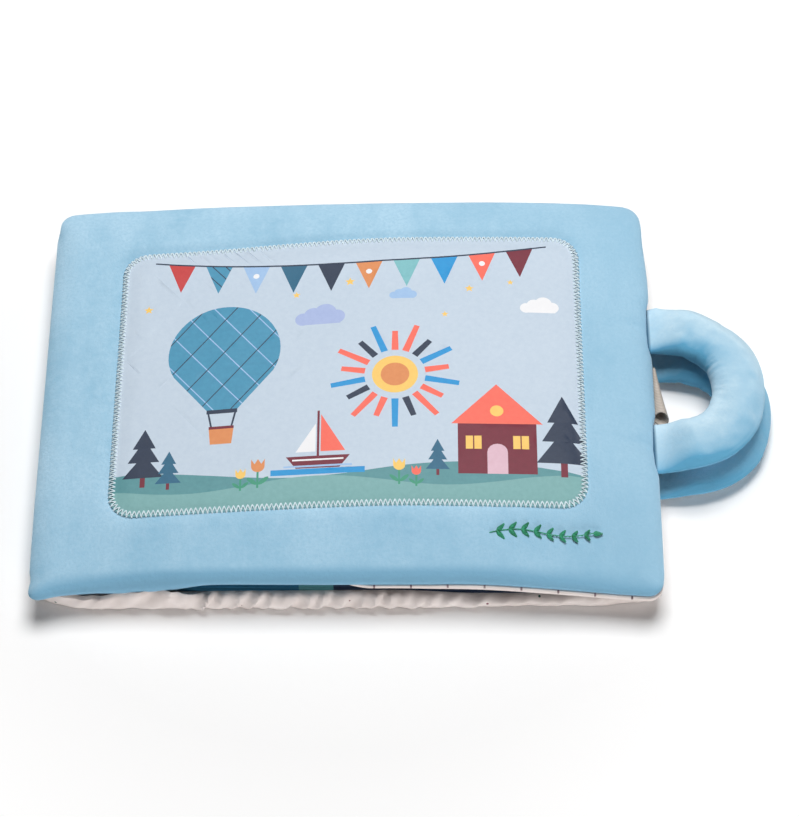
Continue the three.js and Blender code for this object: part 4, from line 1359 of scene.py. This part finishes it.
def leaf_surface(level, side, rise=0.0):
    """Height of a leaf's face over the plan: side 1 above, -1 below, 0 between its halves."""
    def height(x, y):
        inset = leaf_inset(level, x, y)
        half = leaf_height(x, inset) / 2
        rounded = mix(LEAF_EDGE_SHARE, 1.0, np.sqrt(np.clip(inset / LEAF_EDGE_ROUND, 0, 1)))
        flat = leaf_base(level)(x, y, inset) + half + side * half * rounded
        return flat - droop(x, y, flat) - RIM_SAG * front_sag(x, y) + rise

    return height


def hem(level):
    """Contrasting hem along a leaf's front edge."""
    left, right, front, _ = leaf_sides(level)
    stretches = (
        ("teal_dark", left - HEM_OVERRUN, HEM_TEAL_X), ("hill_dark", HEM_TEAL_X, HEM_NAVY_X),
        ("navy", HEM_NAVY_X, right + HEM_OVERRUN),
    )
    return [(colour, rectangle(a, b, front - HEM_OVERRUN, front + HEM_DEPTH)) for colour, a, b in stretches]


def leaf_outline(level):
    """A leaf's plan. To the left its front edge is drawn in."""
    outline = placed_outline(*leaf_sides(level), LEAF_CORNER)
    x, y = outline.T
    at_front = y < leaf_sides(level)[2] + LEAF_DRAWN_BAND
    outline[:, 1] += LEAF_DRAWN * rising(-x, *LEAF_DRAWN_REACH) * at_front
    return outline


leaves = {}
for level, (ground, front_shapes, back_ground, back_shapes) in enumerate(PAGES):
    number = LEAVES - level
    for face, cloth, shapes, top, bottom in (
        ("front", ground, front_shapes, leaf_surface(level, 1), leaf_surface(level, 0, LEAF_HALF_GAP)),
        ("back", back_ground, back_shapes, leaf_surface(level, 0, -LEAF_HALF_GAP), leaf_surface(level, -1)),
    ):
        leaves[number, face] = printed_slab(
            f"leaf_{number}_{face}_page", leaf_outline(level), cloth, shapes + hem(level),
            top, bottom, LEAF_GRID, page_cloth,
        )


# Scenes inside the two covers, on their linings

SCENE_THICKNESS = 0.14
SCENE_LIFT = 0.04
SCENE_OUTLINE = placed_outline(-104, 112, -76, 78, 14)
SCENE_MIDDLE = (4.0, 1.0)
SCENE_GRID = 6.0


def on_lining(lining, rise):
    """A height over a cover's lining, with the lining's own droop."""
    def height(x, y):
        flat = lining(x, y, np.minimum(HALF_X - np.abs(x), HALF_Y - np.abs(y)))
        return flat - droop(x, y, flat) + rise

    return height


def cover_inner_scene(cover, lining, top_rise, bottom_rise):
    surfaces = on_lining(lining, top_rise), on_lining(lining, bottom_rise)
    name = f"{cover}_cover_inner_scene"
    return printed_slab(
        name, SCENE_OUTLINE, "sky", inner_scene, *surfaces, SCENE_GRID, page_cloth, SCENE_MIDDLE,
    )


back_scene = cover_inner_scene("back", back_inner, SCENE_LIFT + SCENE_THICKNESS, SCENE_LIFT)
front_scene = cover_inner_scene("front", front_inner, -SCENE_LIFT, -SCENE_LIFT - SCENE_THICKNESS)


# The picture on the front cover

PANEL_TOP = 0.55
PANEL_BOTTOM = -0.25
PANEL_GRID = 3.0
PUCKER_PITCH = 5.6
PUCKER_RISE = 0.14
PUCKER_INSET, PUCKER_WIDTH = 5.5, 3.5
PUCKER_LENGTH, PUCKER_SEED = 12.0, 4.4
PICTURE_SPANS = (90, 64)


def panel_pucker(x, y):
    """Fine puckers that the stitches draw in along the picture's edge."""
    inset = picture_inset(x, y)
    along = np.arctan2(y - PICTURE_Y, x - PICTURE_X) * (PICTURE_HALF_X + PICTURE_HALF_Y) / 2
    folds = waves(along / PUCKER_PITCH, inset / PUCKER_LENGTH, 1.0, PUCKER_SEED)
    return PUCKER_RISE * bell(inset - PUCKER_INSET, PUCKER_WIDTH) * folds


def panel_surface(x, y):
    return crown(x, y) + PANEL_TOP + panel_pucker(x, y)


def flat_panel(rise):
    """A height over the picture's flat pattern, read where the cloth comes to lie."""
    return lambda x, y: rise(x, y + lean(x, y))


def picture_ring(inset, spans):
    low, high = picture_low[:2] + inset, picture_high[:2] - inset
    return placed_outline(low[0], high[0], low[1], high[1], PICTURE_RADIUS - inset, spans)


def cover_picture():
    """The printed panel. Its pattern is cut flat, and the cloth is drawn to where it lies."""
    surfaces = flat_panel(panel_surface), flat_panel(lambda x, y: crown(x, y) + PANEL_BOTTOM)
    outline, middle = picture_ring(0.0, PICTURE_SPANS), (PICTURE_X, PICTURE_Y)
    made = printed_slab(
        "cover_picture", outline, "ground", cover_scene, *surfaces, PANEL_GRID, satin, middle,
    )
    places = np.array([vertex.co for vertex in made.data.vertices])
    places[:, 1] += lean(places[:, 0] / MM, places[:, 1] / MM) * MM
    made.data.vertices.foreach_set("co", places.astype(np.float32).ravel())
    made.data.update()
    return made


picture = cover_picture()


# Threads: short strokes that dip into the cloth at both ends

STROKE_SIDES = 6
STROKE_ROUNDING = 0.6
ZIGZAG_PITCH = 1.1
ZIGZAG_HALF_WIDTH = 1.6
ZIGZAG_INSET = 1.2
ZIGZAG_SPANS = (120, 90)
WHITE_RADIUS, WHITE_RISE, WHITE_SINK = 0.33, 0.42, 0.12
TEAL_RADIUS, TEAL_RISE, TEAL_SINK = 0.2, 0.16, 0.25
TEAL_START, TEAL_OVERRUN = 0.5, 0.15
PANEL_EDGE_RUN = 0.8
LOOK_AHEAD = 0.4


def stroke_mesh(name, paths, radius, material, sides=STROKE_SIDES):
    """One mesh of many closed strokes. paths is an array of strokes by points by three."""
    paths = np.asarray(paths, float)
    strokes, steps = paths.shape[:2]
    along = np.gradient(paths, axis=1)
    along /= np.linalg.norm(along, axis=2, keepdims=True)
    side = np.cross(along, np.array([0.0, 0.0, 1.0]))
    side /= np.maximum(np.linalg.norm(side, axis=2, keepdims=True), 1e-6)
    angles = (2 * math.pi * np.arange(sides) / sides)[:, None]
    ring = side[:, :, None] * np.cos(angles) + np.cross(side, along)[:, :, None] * np.sin(angles)
    vertices = (paths[:, :, None] + ring * radius).reshape(-1, 3)
    faces = []
    for start in range(0, strokes * steps * sides, steps * sides):
        last = start + (steps - 1) * sides
        faces += [tuple(reversed(face)) for face in ring_faces(sides, steps, start)]
        faces += [tuple(reversed(range(start, start + sides))), tuple(range(last, last + sides))]
    return dress(new_object(name, vertices, faces), material, 75)


def dipped(starts, ends, surface, rise, sink, steps=6):
    """Strokes between two rows of places on a surface: high in the middle, sunk at both ends."""
    shares = np.linspace(0, 1, steps)
    flat = starts[:, None] + (ends - starts)[:, None] * shares[None, :, None]
    height = surface(flat[..., 0].ravel(), flat[..., 1].ravel()).reshape(flat.shape[:2])
    hump = mix(-sink, rise, np.sin(math.pi * shares) ** STROKE_ROUNDING)
    return np.concatenate([flat, (height + hump)[..., None]], axis=2)


def walk(outline, pitch):
    """Places at one pitch along a closed outline, with their outward directions."""
    points = np.vstack([outline, outline[:1]])
    reach = np.concatenate([[0], np.cumsum(np.linalg.norm(np.diff(points, axis=0), axis=1))])
    at = np.linspace(0, reach[-1], int(round(reach[-1] / pitch)), endpoint=False)

    def place(distance):
        return np.column_stack([np.interp(distance, reach, points[:, axis]) for axis in (0, 1)])

    along = place((at + LOOK_AHEAD) % reach[-1]) - place(at)
    along /= np.linalg.norm(along, axis=1, keepdims=True)
    return place(at), np.column_stack([along[:, 1], -along[:, 0]])


def panel_or_cover(x, y):
    """The cloth that a stitch lies on: the panel inside its outline, the cover outside."""
    return crown(x, y) + PANEL_TOP * smooth(picture_inset(x, y) / PANEL_EDGE_RUN + 0.5)


def border_stitches():
    """The zigzag round the picture: white strokes, and thinner teal ones between them, which stand both for
    a teal thread and for painted shadow in the gaps between the white stitches.
    """
    outline = picture_ring(ZIGZAG_INSET, ZIGZAG_SPANS)
    outline[:, 1] += lean(*outline.T)
    places, outward = walk(outline, ZIGZAG_PITCH)
    if len(places) % 2:
        places, outward = places[:-1], outward[:-1]
    side = np.where(np.arange(len(places)) % 2 == 0, 1.0, -1.0)[:, None]
    ends = places + outward * side * ZIGZAG_HALF_WIDTH
    white = dipped(ends, np.roll(ends, -1, axis=0), panel_or_cover, WHITE_RISE, WHITE_SINK)
    # Teal strokes: partly a teal thread, partly painted shadow in the gaps between the white stitches.
    later, later_outward = (np.roll(rows, -1, axis=0)[::2] for rows in (places, outward))
    low = later + later_outward * TEAL_START
    high = later + later_outward * (ZIGZAG_HALF_WIDTH + TEAL_OVERRUN)
    teal = dipped(low, high, panel_or_cover, TEAL_RISE, TEAL_SINK)
    return (
        stroke_mesh("picture_zigzag", white, WHITE_RADIUS, white_thread),
        stroke_mesh("picture_zigzag_shadow", teal, TEAL_RADIUS, teal_thread),
    )


zigzag, zigzag_shadow = border_stitches()


# The sprig: satin stitches across each leaf, and a stem

SPRIG_LEAF_PAIRS, SPRIG_LEAF_START, SPRIG_LEAF_SPARE = 8, 0.6, 0.3
SPRIG_LEAF_LENGTH = 5.6
SPRIG_LEAF_WIDTH = 2.1
SPRIG_LEAF_TURN = math.radians(48)
SPRIG_TAPER = 0.35
SPRIG_TIP_LENGTH, SPRIG_TIP_WIDTH = 4.5, 2.4
SPRIG_WAVE = 1.8
SPRIG_PITCH, SPRIG_DRAWN_BACK, SPRIG_LEAF_FULLNESS = 0.42, 0.5, 0.85
SPRIG_STEM_STEPS, SPRIG_STEM_OVERLAP = 25, 0.35
SPRIG_THREAD, SPRIG_RISE, SPRIG_SINK = 0.27, 0.35, 0.2
sprig_low, sprig_high = box_mm("sprig_embroidery")


def sprig_stem(share):
    x = mix(sprig_low[0], sprig_high[0], share)
    y = (sprig_low[1] + sprig_high[1]) / 2 + SPRIG_WAVE * np.sin(2 * math.pi * share)
    return np.stack([x, y], axis=-1)


def satin_leaf(base, angle, length, width):
    """Close parallel stitches across a pointed leaf: the start and end of each."""
    count = int(length / SPRIG_PITCH)
    along = np.array([math.cos(angle), math.sin(angle)])
    across = np.array([-along[1], along[0]])
    stitches = []
    for i in range(1, count):
        half = width / 2 * math.sin(math.pi * (i / count) ** SPRIG_LEAF_FULLNESS)
        middle = base + along * (length * i / count - half * SPRIG_DRAWN_BACK)
        stitches.append((middle - across * half, middle + across * half))
    return stitches


def sprig_stitches():
    stitches = []
    for i in range(SPRIG_LEAF_PAIRS):
        share = (i + SPRIG_LEAF_START) / (SPRIG_LEAF_PAIRS + SPRIG_LEAF_SPARE)
        size = 1 - SPRIG_TAPER * share
        for side in (1, -1):
            shape = (side * SPRIG_LEAF_TURN, SPRIG_LEAF_LENGTH * size, SPRIG_LEAF_WIDTH * size)
            stitches += satin_leaf(sprig_stem(share), *shape)
    stitches += satin_leaf(sprig_stem(1.0), 0.0, SPRIG_TIP_LENGTH, SPRIG_TIP_WIDTH)
    stem = sprig_stem(np.linspace(0, 1, SPRIG_STEM_STEPS + 1))
    stitches += list(zip(stem[:-1], stem[1:] + (stem[1:] - stem[:-1]) * SPRIG_STEM_OVERLAP))
    starts, ends = np.array(stitches).transpose(1, 0, 2)
    paths = dipped(starts, ends, crown, SPRIG_RISE, SPRIG_SINK, 5)
    return stroke_mesh("sprig_satin_stitches", paths, SPRIG_THREAD, green_thread)


sprig = sprig_stitches()


# Handles: a flattened padded tube along a loop of places, drawn thin where it is sewn in

HINGE_X = HALF_X + 2.8
HANDLE_STEPS = 96
HANDLE_SIDES = 60
HANDLE_NOSE = 2.8
HANDLE_ROOT_LENGTH = 19.0
HANDLE_TUCK, HANDLE_TUCK_SCALE = 5.0, np.array([1.0, 0.9, 0.6])
HANDLE_SQUARENESS, HANDLE_FLATNESS = 0.86, 0.92
HANDLE_SWELL, HANDLE_VOXEL = 0.0011, 0.0028
HANDLE_FREE_FROM, HANDLE_FREE_RUN = 2.0, 10.0
HANDLE_WIDTH_SHARES = (0.0, 0.12, 0.3, 0.5, 0.7, 0.88, 1.0)
SEAM_RIDGE = 1.3
SEAM_WIDTH = 0.1
SEAM_TURN = 0.16
WRINKLE, WRINKLE_PITCH, WRINKLE_SHARPNESS, WRINKLE_RISE_SHARE = 0.3, 5.2, 2.2, 0.8
WRINKLE_SIDE_SHARPNESS, WRINKLE_RUN, WRINKLE_START_RUN = 1.3, 18.0, 10.0
SOFT_WAVE, SOFT_WAVE_LENGTH, SOFT_WAVE_TALL = 0.45, 21.0, 0.04
WRINKLE_STEEPNESS, SOFT_WAVE_STEEPNESS = 0.8, 1.5
HANDLES = {
    "front": {
        "cloth": handle_velour, "half": 7.4, "root": 18.6, "under": 12.2,
        "widths": (13.9, 12.9, 12.0, 12.0, 12.9, 13.5, 13.9),
        "line": [
            (146.0, 39.8), (155.4, 37.0), (165.8, 34.0), (175.2, 28.9), (182.3, 21.3), (185.6, 11.4),
            (186.3, 2.2), (185.0, -6.4), (181.6, -15.4), (174.4, -23.6), (164.7, -28.4), (156.6, -29.9),
            (146.0, -30.2),
        ],
    },
    "back": {
        "cloth": low_handle_velour, "half": 6.0, "root": 4.6, "under": 0.15,
        "widths": (13.9, 13.2, 12.8, 12.4, 12.6, 13.2, 13.9),
        "line": [
            (146.0, 32.4), (158.0, 30.8), (168.0, 28.2), (178.0, 23.8), (185.6, 16.4), (189.6, 7.0),
            (190.5, -4.0), (188.6, -14.4), (184.0, -23.8), (177.0, -30.4), (168.0, -33.9), (158.0, -35.4),
            (146.0, -35.6),
        ],
    },
}


def rounded_line(points, steps=60):
    """A smooth curve through places in the plan."""
    points = np.array(points)
    ends = np.vstack([2 * points[0] - points[1], points, 2 * points[-1] - points[-2]])
    curve = []
    for a, b, c, d in zip(ends, ends[1:], ends[2:], ends[3:]):
        for t in np.linspace(0, 1, steps, endpoint=False):
            bent = (2 * a - 5 * b + 4 * c - d) * t**2 + (3 * b - a - 3 * c + d) * t**3
            curve.append(0.5 * (2 * b + (c - a) * t + bent))
    return np.array([*curve, points[-1]])


def directions(line):
    """Unit directions along a row of places in a plane, and those to their left."""
    along = np.column_stack([np.gradient(line[:, 0]), np.gradient(line[:, 1])])
    along /= np.linalg.norm(along, axis=1, keepdims=True)
    return along, np.column_stack([-along[:, 1], along[:, 0]])


def squared(value, power):
    return math.copysign(abs(value) ** power, value)


def handle_section(at, nearest, half_width, half):
    """Places round a handle at one reach along it: out to the side and up."""
    grown = smooth(nearest / HANDLE_ROOT_LENGTH)
    half_height = mix(HANDLE_NOSE, half, grown)
    bend = smooth(nearest / WRINKLE_RUN) * smooth((at + 1) / WRINKLE_START_RUN)
    section = []
    for i in range(HANDLE_SIDES):
        turn = 2 * math.pi * i / HANDLE_SIDES
        across, up = math.cos(turn), math.sin(turn)
        from_seam = (turn + math.pi) % (2 * math.pi) - math.pi - SEAM_TURN
        fold = noise.noise(Vector((at / WRINKLE_PITCH, up * WRINKLE_STEEPNESS, half)))
        crease = 1 - WRINKLE_SHARPNESS * abs(fold)
        soft = noise.noise(Vector((at / SOFT_WAVE_LENGTH, across, up * SOFT_WAVE_STEEPNESS + half)))
        inner = smooth(-across * WRINKLE_SIDE_SHARPNESS)
        puff = WRINKLE * inner * bend * crease + SOFT_WAVE * soft * grown
        wide = half_width * squared(across, HANDLE_SQUARENESS) + across * puff
        tall = half_height * squared(up, HANDLE_FLATNESS) * (1 + SOFT_WAVE_TALL * soft)
        tall += up * puff * WRINKLE_RISE_SHARE
        if up < 0:
            tall = max(tall, -half_height)
        section.append((wide + bell(from_seam, SEAM_WIDTH) * SEAM_RIDGE * grown, half_height + tall))
    return section


def handle_tube(name, cloth, half, root, under, widths, line):
    """A tube that hangs from its roots to its outer end, with a flat underside and a raised outer seam."""
    line = rounded_line(line)
    reach = line[:, 0].max() - HINGE_X
    distance = np.concatenate([[0], np.cumsum(np.linalg.norm(np.diff(line, axis=0), axis=1))])
    length = distance[-1]
    stations = np.linspace(0, length, HANDLE_STEPS + 1)
    middles = np.column_stack([np.interp(stations, distance, line[:, axis]) for axis in (0, 1)])
    _, outward = directions(middles)
    rows = []
    for at, middle, aside in zip(stations, middles, outward):
        half_width = np.interp(at / length, HANDLE_WIDTH_SHARES, widths)
        low = mix(root - HANDLE_NOSE, under, smooth((middle[0] - HINGE_X) / reach))
        section = handle_section(at, min(at, length - at), half_width, half)
        rows.append(np.array([(*(middle + aside * wide), low + rise) for wide, rise in section]))
    for end, ring in ((0, rows[0]), (len(rows) + 1, rows[-1])):
        tucked = ring.mean(0) + (ring - ring.mean(0)) * HANDLE_TUCK_SCALE
        tucked[:, 0] -= HANDLE_TUCK
        rows.insert(end, tucked)
    made = tube(name, rows)
    swell(made, HANDLE_SWELL, HANDLE_VOXEL, lambda place: smooth(
        (place[0] / MM - HINGE_X - HANDLE_FREE_FROM) / HANDLE_FREE_RUN
    ))
    return dress(made, cloth, 80)


handles = {key: handle_tube(f"{key}_handle_tube", **sizes) for key, sizes in HANDLES.items()}


# Ribbon loop between the handle's roots: a folded tape, a little askew

RIBBON_HALF_HEIGHT = 3.4
RIBBON_THICKNESS = 0.7
RIBBON_SKEW = 1.6
RIBBON_ROOT_IN = 0.2
RIBBON_REAR_IN = 0.8
RIBBON_MOUTH = 4.2
RIBBON_FRONT_OUT = 1.8
RIBBON_TIP_IN = (1.6, 6.4)
RIBBON_SAG, RIBBON_SAG_IN, RIBBON_SAG_DOWN = 0.5, 0.5, 0.4
RIBBON_FULLNESS = 0.42
RIBBON_STEPS, RIBBON_COLUMNS = 36, 13
ribbon_low, ribbon_high = box_mm("ribbon_loop")


def ribbon_tape():
    """The tape as rings across it, each out along its outer face and back along its inner one."""
    middle_z = (ribbon_low[2] + ribbon_high[2]) / 2
    root_x, tip_x = ribbon_low[0] + RIBBON_ROOT_IN, ribbon_high[0]
    front_y, rear_y = ribbon_low[1] - RIBBON_FRONT_OUT, ribbon_high[1] - RIBBON_REAR_IN
    turns = math.pi * (1 - 2 * np.arange(RIBBON_STEPS + 1) / RIBBON_STEPS)
    shares = (np.cos(turns) + 1) / 2
    heights = RIBBON_HALF_HEIGHT * np.sin(turns) * shares**RIBBON_FULLNESS
    line = np.column_stack([mix(root_x, tip_x, shares), heights])
    out = [(0.5, across) for across in np.linspace(0, 1, RIBBON_COLUMNS)]
    back = [(-0.5, across) for _, across in reversed(out)]
    rows = []
    for (x, z), normal in zip(line, directions(line)[1] * RIBBON_THICKNESS):
        reached = max(0.0, x - root_x) / (tip_x - root_x)
        skew = RIBBON_SKEW * z / RIBBON_HALF_HEIGHT
        mouth = RIBBON_MOUTH * max(0.0, z) / RIBBON_HALF_HEIGHT * (1 - reached)
        ring = []
        for face, across in out + back:
            sag = RIBBON_SAG * math.sin(math.pi * across) * reached
            drawn = mix(*RIBBON_TIP_IN, across) * reached + sag * RIBBON_SAG_IN
            y = mix(front_y, rear_y, across) + skew + mouth * (1 - across) ** 2
            rise = z + normal[1] * face - sag * RIBBON_SAG_DOWN
            ring.append((x + normal[0] * face - drawn, y, middle_z + rise))
        rows.append(ring)
    return dress(tube("ribbon_tape", rows), ribbon_cloth, 60)


ribbon = ribbon_tape()


# Ticks on the welt: small plum stitches at one pitch along its front

TICK_PITCH = 16.9
TICK_FIRST_X = 12.9
TICK_COUNT = 8
TICK_WIDTH = 0.2
TICK_THREADS = (-0.3, 0.15)
TICK_PROUD = 0.12
TICK_SECTION = ((0.28, 0.55), (0.05, 1.0), (0.12, 1.5), (0.5, 1.95), (1.0, 2.2))


def welt_ticks():
    paths = []
    for i in range(TICK_COUNT):
        x = TICK_FIRST_X + i * TICK_PITCH
        edge = -HALF_Y + float(front_draw_in(x))
        low = float(front_inner(x, edge, 0.0))
        for shift in TICK_THREADS:
            path = [(x + shift, edge + inset - TICK_PROUD, low + rise) for inset, rise in TICK_SECTION]
            paths.append([(a, b, c - float(droop(a, b, c))) for a, b, c in path])
    return stroke_mesh("welt_tick_stitches", paths, TICK_WIDTH, plum_thread, 5)


ticks = welt_ticks()


# Inside the spine: its lining, and the tape that binds the leaves

BAR_SPANS = 40
BAR_WAVE, BAR_WAVE_LENGTH, BAR_WAVE_SEED = 0.075, 14.0, 1.7
BAR_END_SHARE, BAR_END_RUN = 0.85, 1.5
LINING_END_IN = 2.0
LINING_FLAP_GAP = 0.08


def waved_bar(name, section, start_y, end_y):
    """A run along Y of a closed section, with soft waves and drawn-in ends."""
    section = np.array(section, float)
    centre = section.mean(0)
    rows = []
    for y in np.linspace(start_y, end_y, BAR_SPANS + 1):
        wave = BAR_WAVE * noise.noise(Vector((y / BAR_WAVE_LENGTH, BAR_WAVE_SEED, 0)))
        shrink = mix(BAR_END_SHARE, 1.0, float(smooth(min(y - start_y, end_y - y) / BAR_END_RUN)))
        rows.append([(x, y, z + wave) for x, z in centre + (section - centre) * shrink])
    return dress(tube(name, rows), cotton, 50)


def spine_lining_bar():
    low, high = box_mm("spine_lining")
    inner_x = FLAP_INNER + LINING_FLAP_GAP
    section = [
        (inner_x, low[2] + 1.0), (high[0], low[2] + 1.2),
        (high[0], high[2] - 5.6), (inner_x, high[2] - 5.4),
    ]
    return waved_bar("spine_cotton_lining", section, low[1] + LINING_END_IN, high[1] - LINING_END_IN)


def page_binding():
    low, high = box_mm("page_binding")
    section = [
        (low[0], low[2]), (high[0], low[2]), (high[0] - 0.4, low[2] + 0.35), (low[0] + 1.2, high[2]),
        (low[0], high[2]),
    ]
    return waved_bar("page_binding_tape", section, low[1], high[1])


spine_lining = spine_lining_bar()
binding = page_binding()


# Rides and replaced nodes

def stand_for(made, body, slot, *nodes):
    if body is not None:
        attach(made, body)
    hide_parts(*nodes)


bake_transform(front_pad)
stand_for(front_pad, None, "velour", "front_cover_velour", "front_cover_wadding")
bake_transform(back_skin)
stand_for(back_skin, None, "velour", "back_cover_velour", "spine_velour", "spine_wadding")
stand_for(front_lining, "front_cover", "cotton_lining", "front_cover_lining")
stand_for(back_pad, "back_cover", "cotton_lining", "back_cover_lining", "back_cover_wadding")
stand_for(spine_lining, "spine", "cotton_lining", "spine_lining")
stand_for(binding, "back_cover", "cotton_lining", "page_binding")
stand_for(picture, "front_cover", "picture_satin", "picture_panel")
for made in (zigzag, zigzag_shadow):
    stand_for(made, "front_cover", "thread", "panel_stitching")
stand_for(sprig, "front_cover", "embroidery", "sprig_embroidery")
stand_for(ticks, "front_cover", "thread")
stand_for(back_scene, "back_cover", "leaf_3_front_cotton")
stand_for(front_scene, "front_cover", "leaf_1_back_cotton")
for number in range(1, LEAVES + 1):
    body = f"leaf_{number}"
    inner = [f"{body}_wadding"] + (["leaf_1_crinkle_film"] if number == 1 else [])
    stand_for(leaves[number, "front"], body, f"{body}_front_cotton", f"{body}_front_print", *inner)
    stand_for(leaves[number, "back"], body, f"{body}_back_cotton", f"{body}_back_print")
for key, made in handles.items():
    stand_for(made, f"{key}_handle", "velour", f"{key}_handle_sleeve", f"{key}_handle_core")
stand_for(ribbon, "ribbon", "ribbon", "ribbon_loop")
for node, material in (("squeaker_bulb", squeaker_plastic), ("squeaker_reed", reed_plastic)):
    node_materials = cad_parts[node].data.materials
    node_materials.clear()
    node_materials.append(material)


# Floor, world and lights, in metres and watts

FLOOR_SIZE = 6.0
FLOOR_WHITE = (0.98, 0.98, 0.98, 1.0)
FLOOR_GLOW = (0.02, 1.0)
FLOOR_GLOW_REACH = (0.18, 0.95)
WORLD_LIGHT = 0.08
WARM_FILL = (1.0, 0.97, 0.955)
OVERHEAD = {"place": (0.1, 0.54, 1.56), "size": (0.95, 0.95), "power": 28.5, "colour": (1.0, 1.0, 1.0)}
FRONT_FILL = {"place": (0.7, -1.9, 0.2), "size": (1.2, 0.36), "power": 20, "colour": WARM_FILL}


def white_floor():
    """A white floor. The camera sees it glow more with distance, so that it runs into the background."""
    half = FLOOR_SIZE / 2
    mesh = bpy.data.meshes.new("floor")
    mesh.from_pydata([(x, y, 0) for x, y in rectangle(-half, half, -half, half)], [], [(0, 1, 2, 3)])
    floor = bpy.data.objects.new("floor", mesh)
    bpy.context.scene.collection.objects.link(floor)
    tree = Tree("floor")
    mesh.materials.append(tree.finish(FLOOR_WHITE, 1.0, 0.0))
    reach = tree.filled("ShaderNodeVectorMath", {0: tree.place}, operation="LENGTH").outputs["Value"]
    strength = tree.ramp(reach, *FLOOR_GLOW_REACH, *FLOOR_GLOW)
    glow, dark = (
        tree.filled("ShaderNodeEmission", {"Strength": value}).outputs[0] for value in (strength, 0.0)
    )
    rays = tree.node("ShaderNodeLightPath").outputs
    mirrored = tree.math("MAXIMUM", rays["Is Glossy Ray"], rays["Is Transmission Ray"])
    seen = tree.math("MAXIMUM", rays["Is Camera Ray"], mirrored)
    switch = tree.filled("ShaderNodeMixShader", {0: seen, 1: dark, 2: glow}).outputs[0]
    total = tree.filled("ShaderNodeAddShader", {0: tree.shader.outputs[0], 1: switch}).outputs[0]
    tree.feed(tree.tree.nodes["Material Output"].inputs["Surface"], total)


def soft_light(name, place, size, power, colour):
    """A rectangular light that faces the middle of the floor."""
    light = bpy.data.lights.new(name, "AREA")
    light.color = colour
    light.shape = "RECTANGLE"
    light.size, light.size_y = size
    light.energy = power
    made = bpy.data.objects.new(name, light)
    made.location = place
    made.rotation_mode = "QUATERNION"
    made.rotation_quaternion = (-Vector(place)).to_track_quat("-Z", "Y")
    bpy.context.scene.collection.objects.link(made)


def white_world():
    """A faint warm light from all round, which the camera sees as plain white."""
    world = bpy.data.worlds.new("studio")
    world.use_nodes = True
    nodes, links = world.node_tree.nodes, world.node_tree.links
    lit, shown = nodes["Background"], nodes.new("ShaderNodeBackground")
    for background, colour, strength in ((lit, WARM_FILL, WORLD_LIGHT), (shown, (1, 1, 1), 1.0)):
        background.inputs["Color"].default_value = (*colour, 1)
        background.inputs["Strength"].default_value = strength
    switch = nodes.new("ShaderNodeMixShader")
    links.new(nodes.new("ShaderNodeLightPath").outputs["Is Camera Ray"], switch.inputs["Fac"])
    links.new(lit.outputs[0], switch.inputs[1])
    links.new(shown.outputs[0], switch.inputs[2])
    links.new(switch.outputs[0], nodes["World Output"].inputs["Surface"])
    bpy.context.scene.world = world


white_floor()
white_world()
soft_light("overhead", **OVERHEAD)
soft_light("front_fill", **FRONT_FILL)


# The camera's place, as the photograph's view of the cover gives it: radians, and millimetres

CAMERA_YAW = 0.022197
CAMERA_ELEVATION = 0.959931
CAMERA_ROLL = -0.025981
CAMERA_TARGET = (24.14, 7.5, 0.0)
CAMERA_DISTANCE = 1388.3
CAMERA_LENS = 125.83


def photo_camera():
    back = Vector((
        math.sin(CAMERA_YAW) * math.cos(CAMERA_ELEVATION),
        -math.cos(CAMERA_YAW) * math.cos(CAMERA_ELEVATION),
        math.sin(CAMERA_ELEVATION),
    ))
    right = (-back).cross(Vector((0, 0, 1))).normalized()
    up = right.cross(-back)
    turned_right = right * math.cos(CAMERA_ROLL) + up * math.sin(CAMERA_ROLL)
    turned_up = -right * math.sin(CAMERA_ROLL) + up * math.cos(CAMERA_ROLL)
    data = bpy.data.cameras.new("photo_camera")
    data.lens = CAMERA_LENS
    camera = bpy.data.objects.new("photo_camera", data)
    matrix = Matrix((turned_right, turned_up, back)).transposed().to_4x4()
    matrix.translation = (Vector(CAMERA_TARGET) + back * CAMERA_DISTANCE) * MM
    camera.matrix_world = matrix
    bpy.context.scene.collection.objects.link(camera)
    bpy.context.scene.camera = camera


photo_camera()
bpy.context.scene.view_settings.view_transform = "Standard"
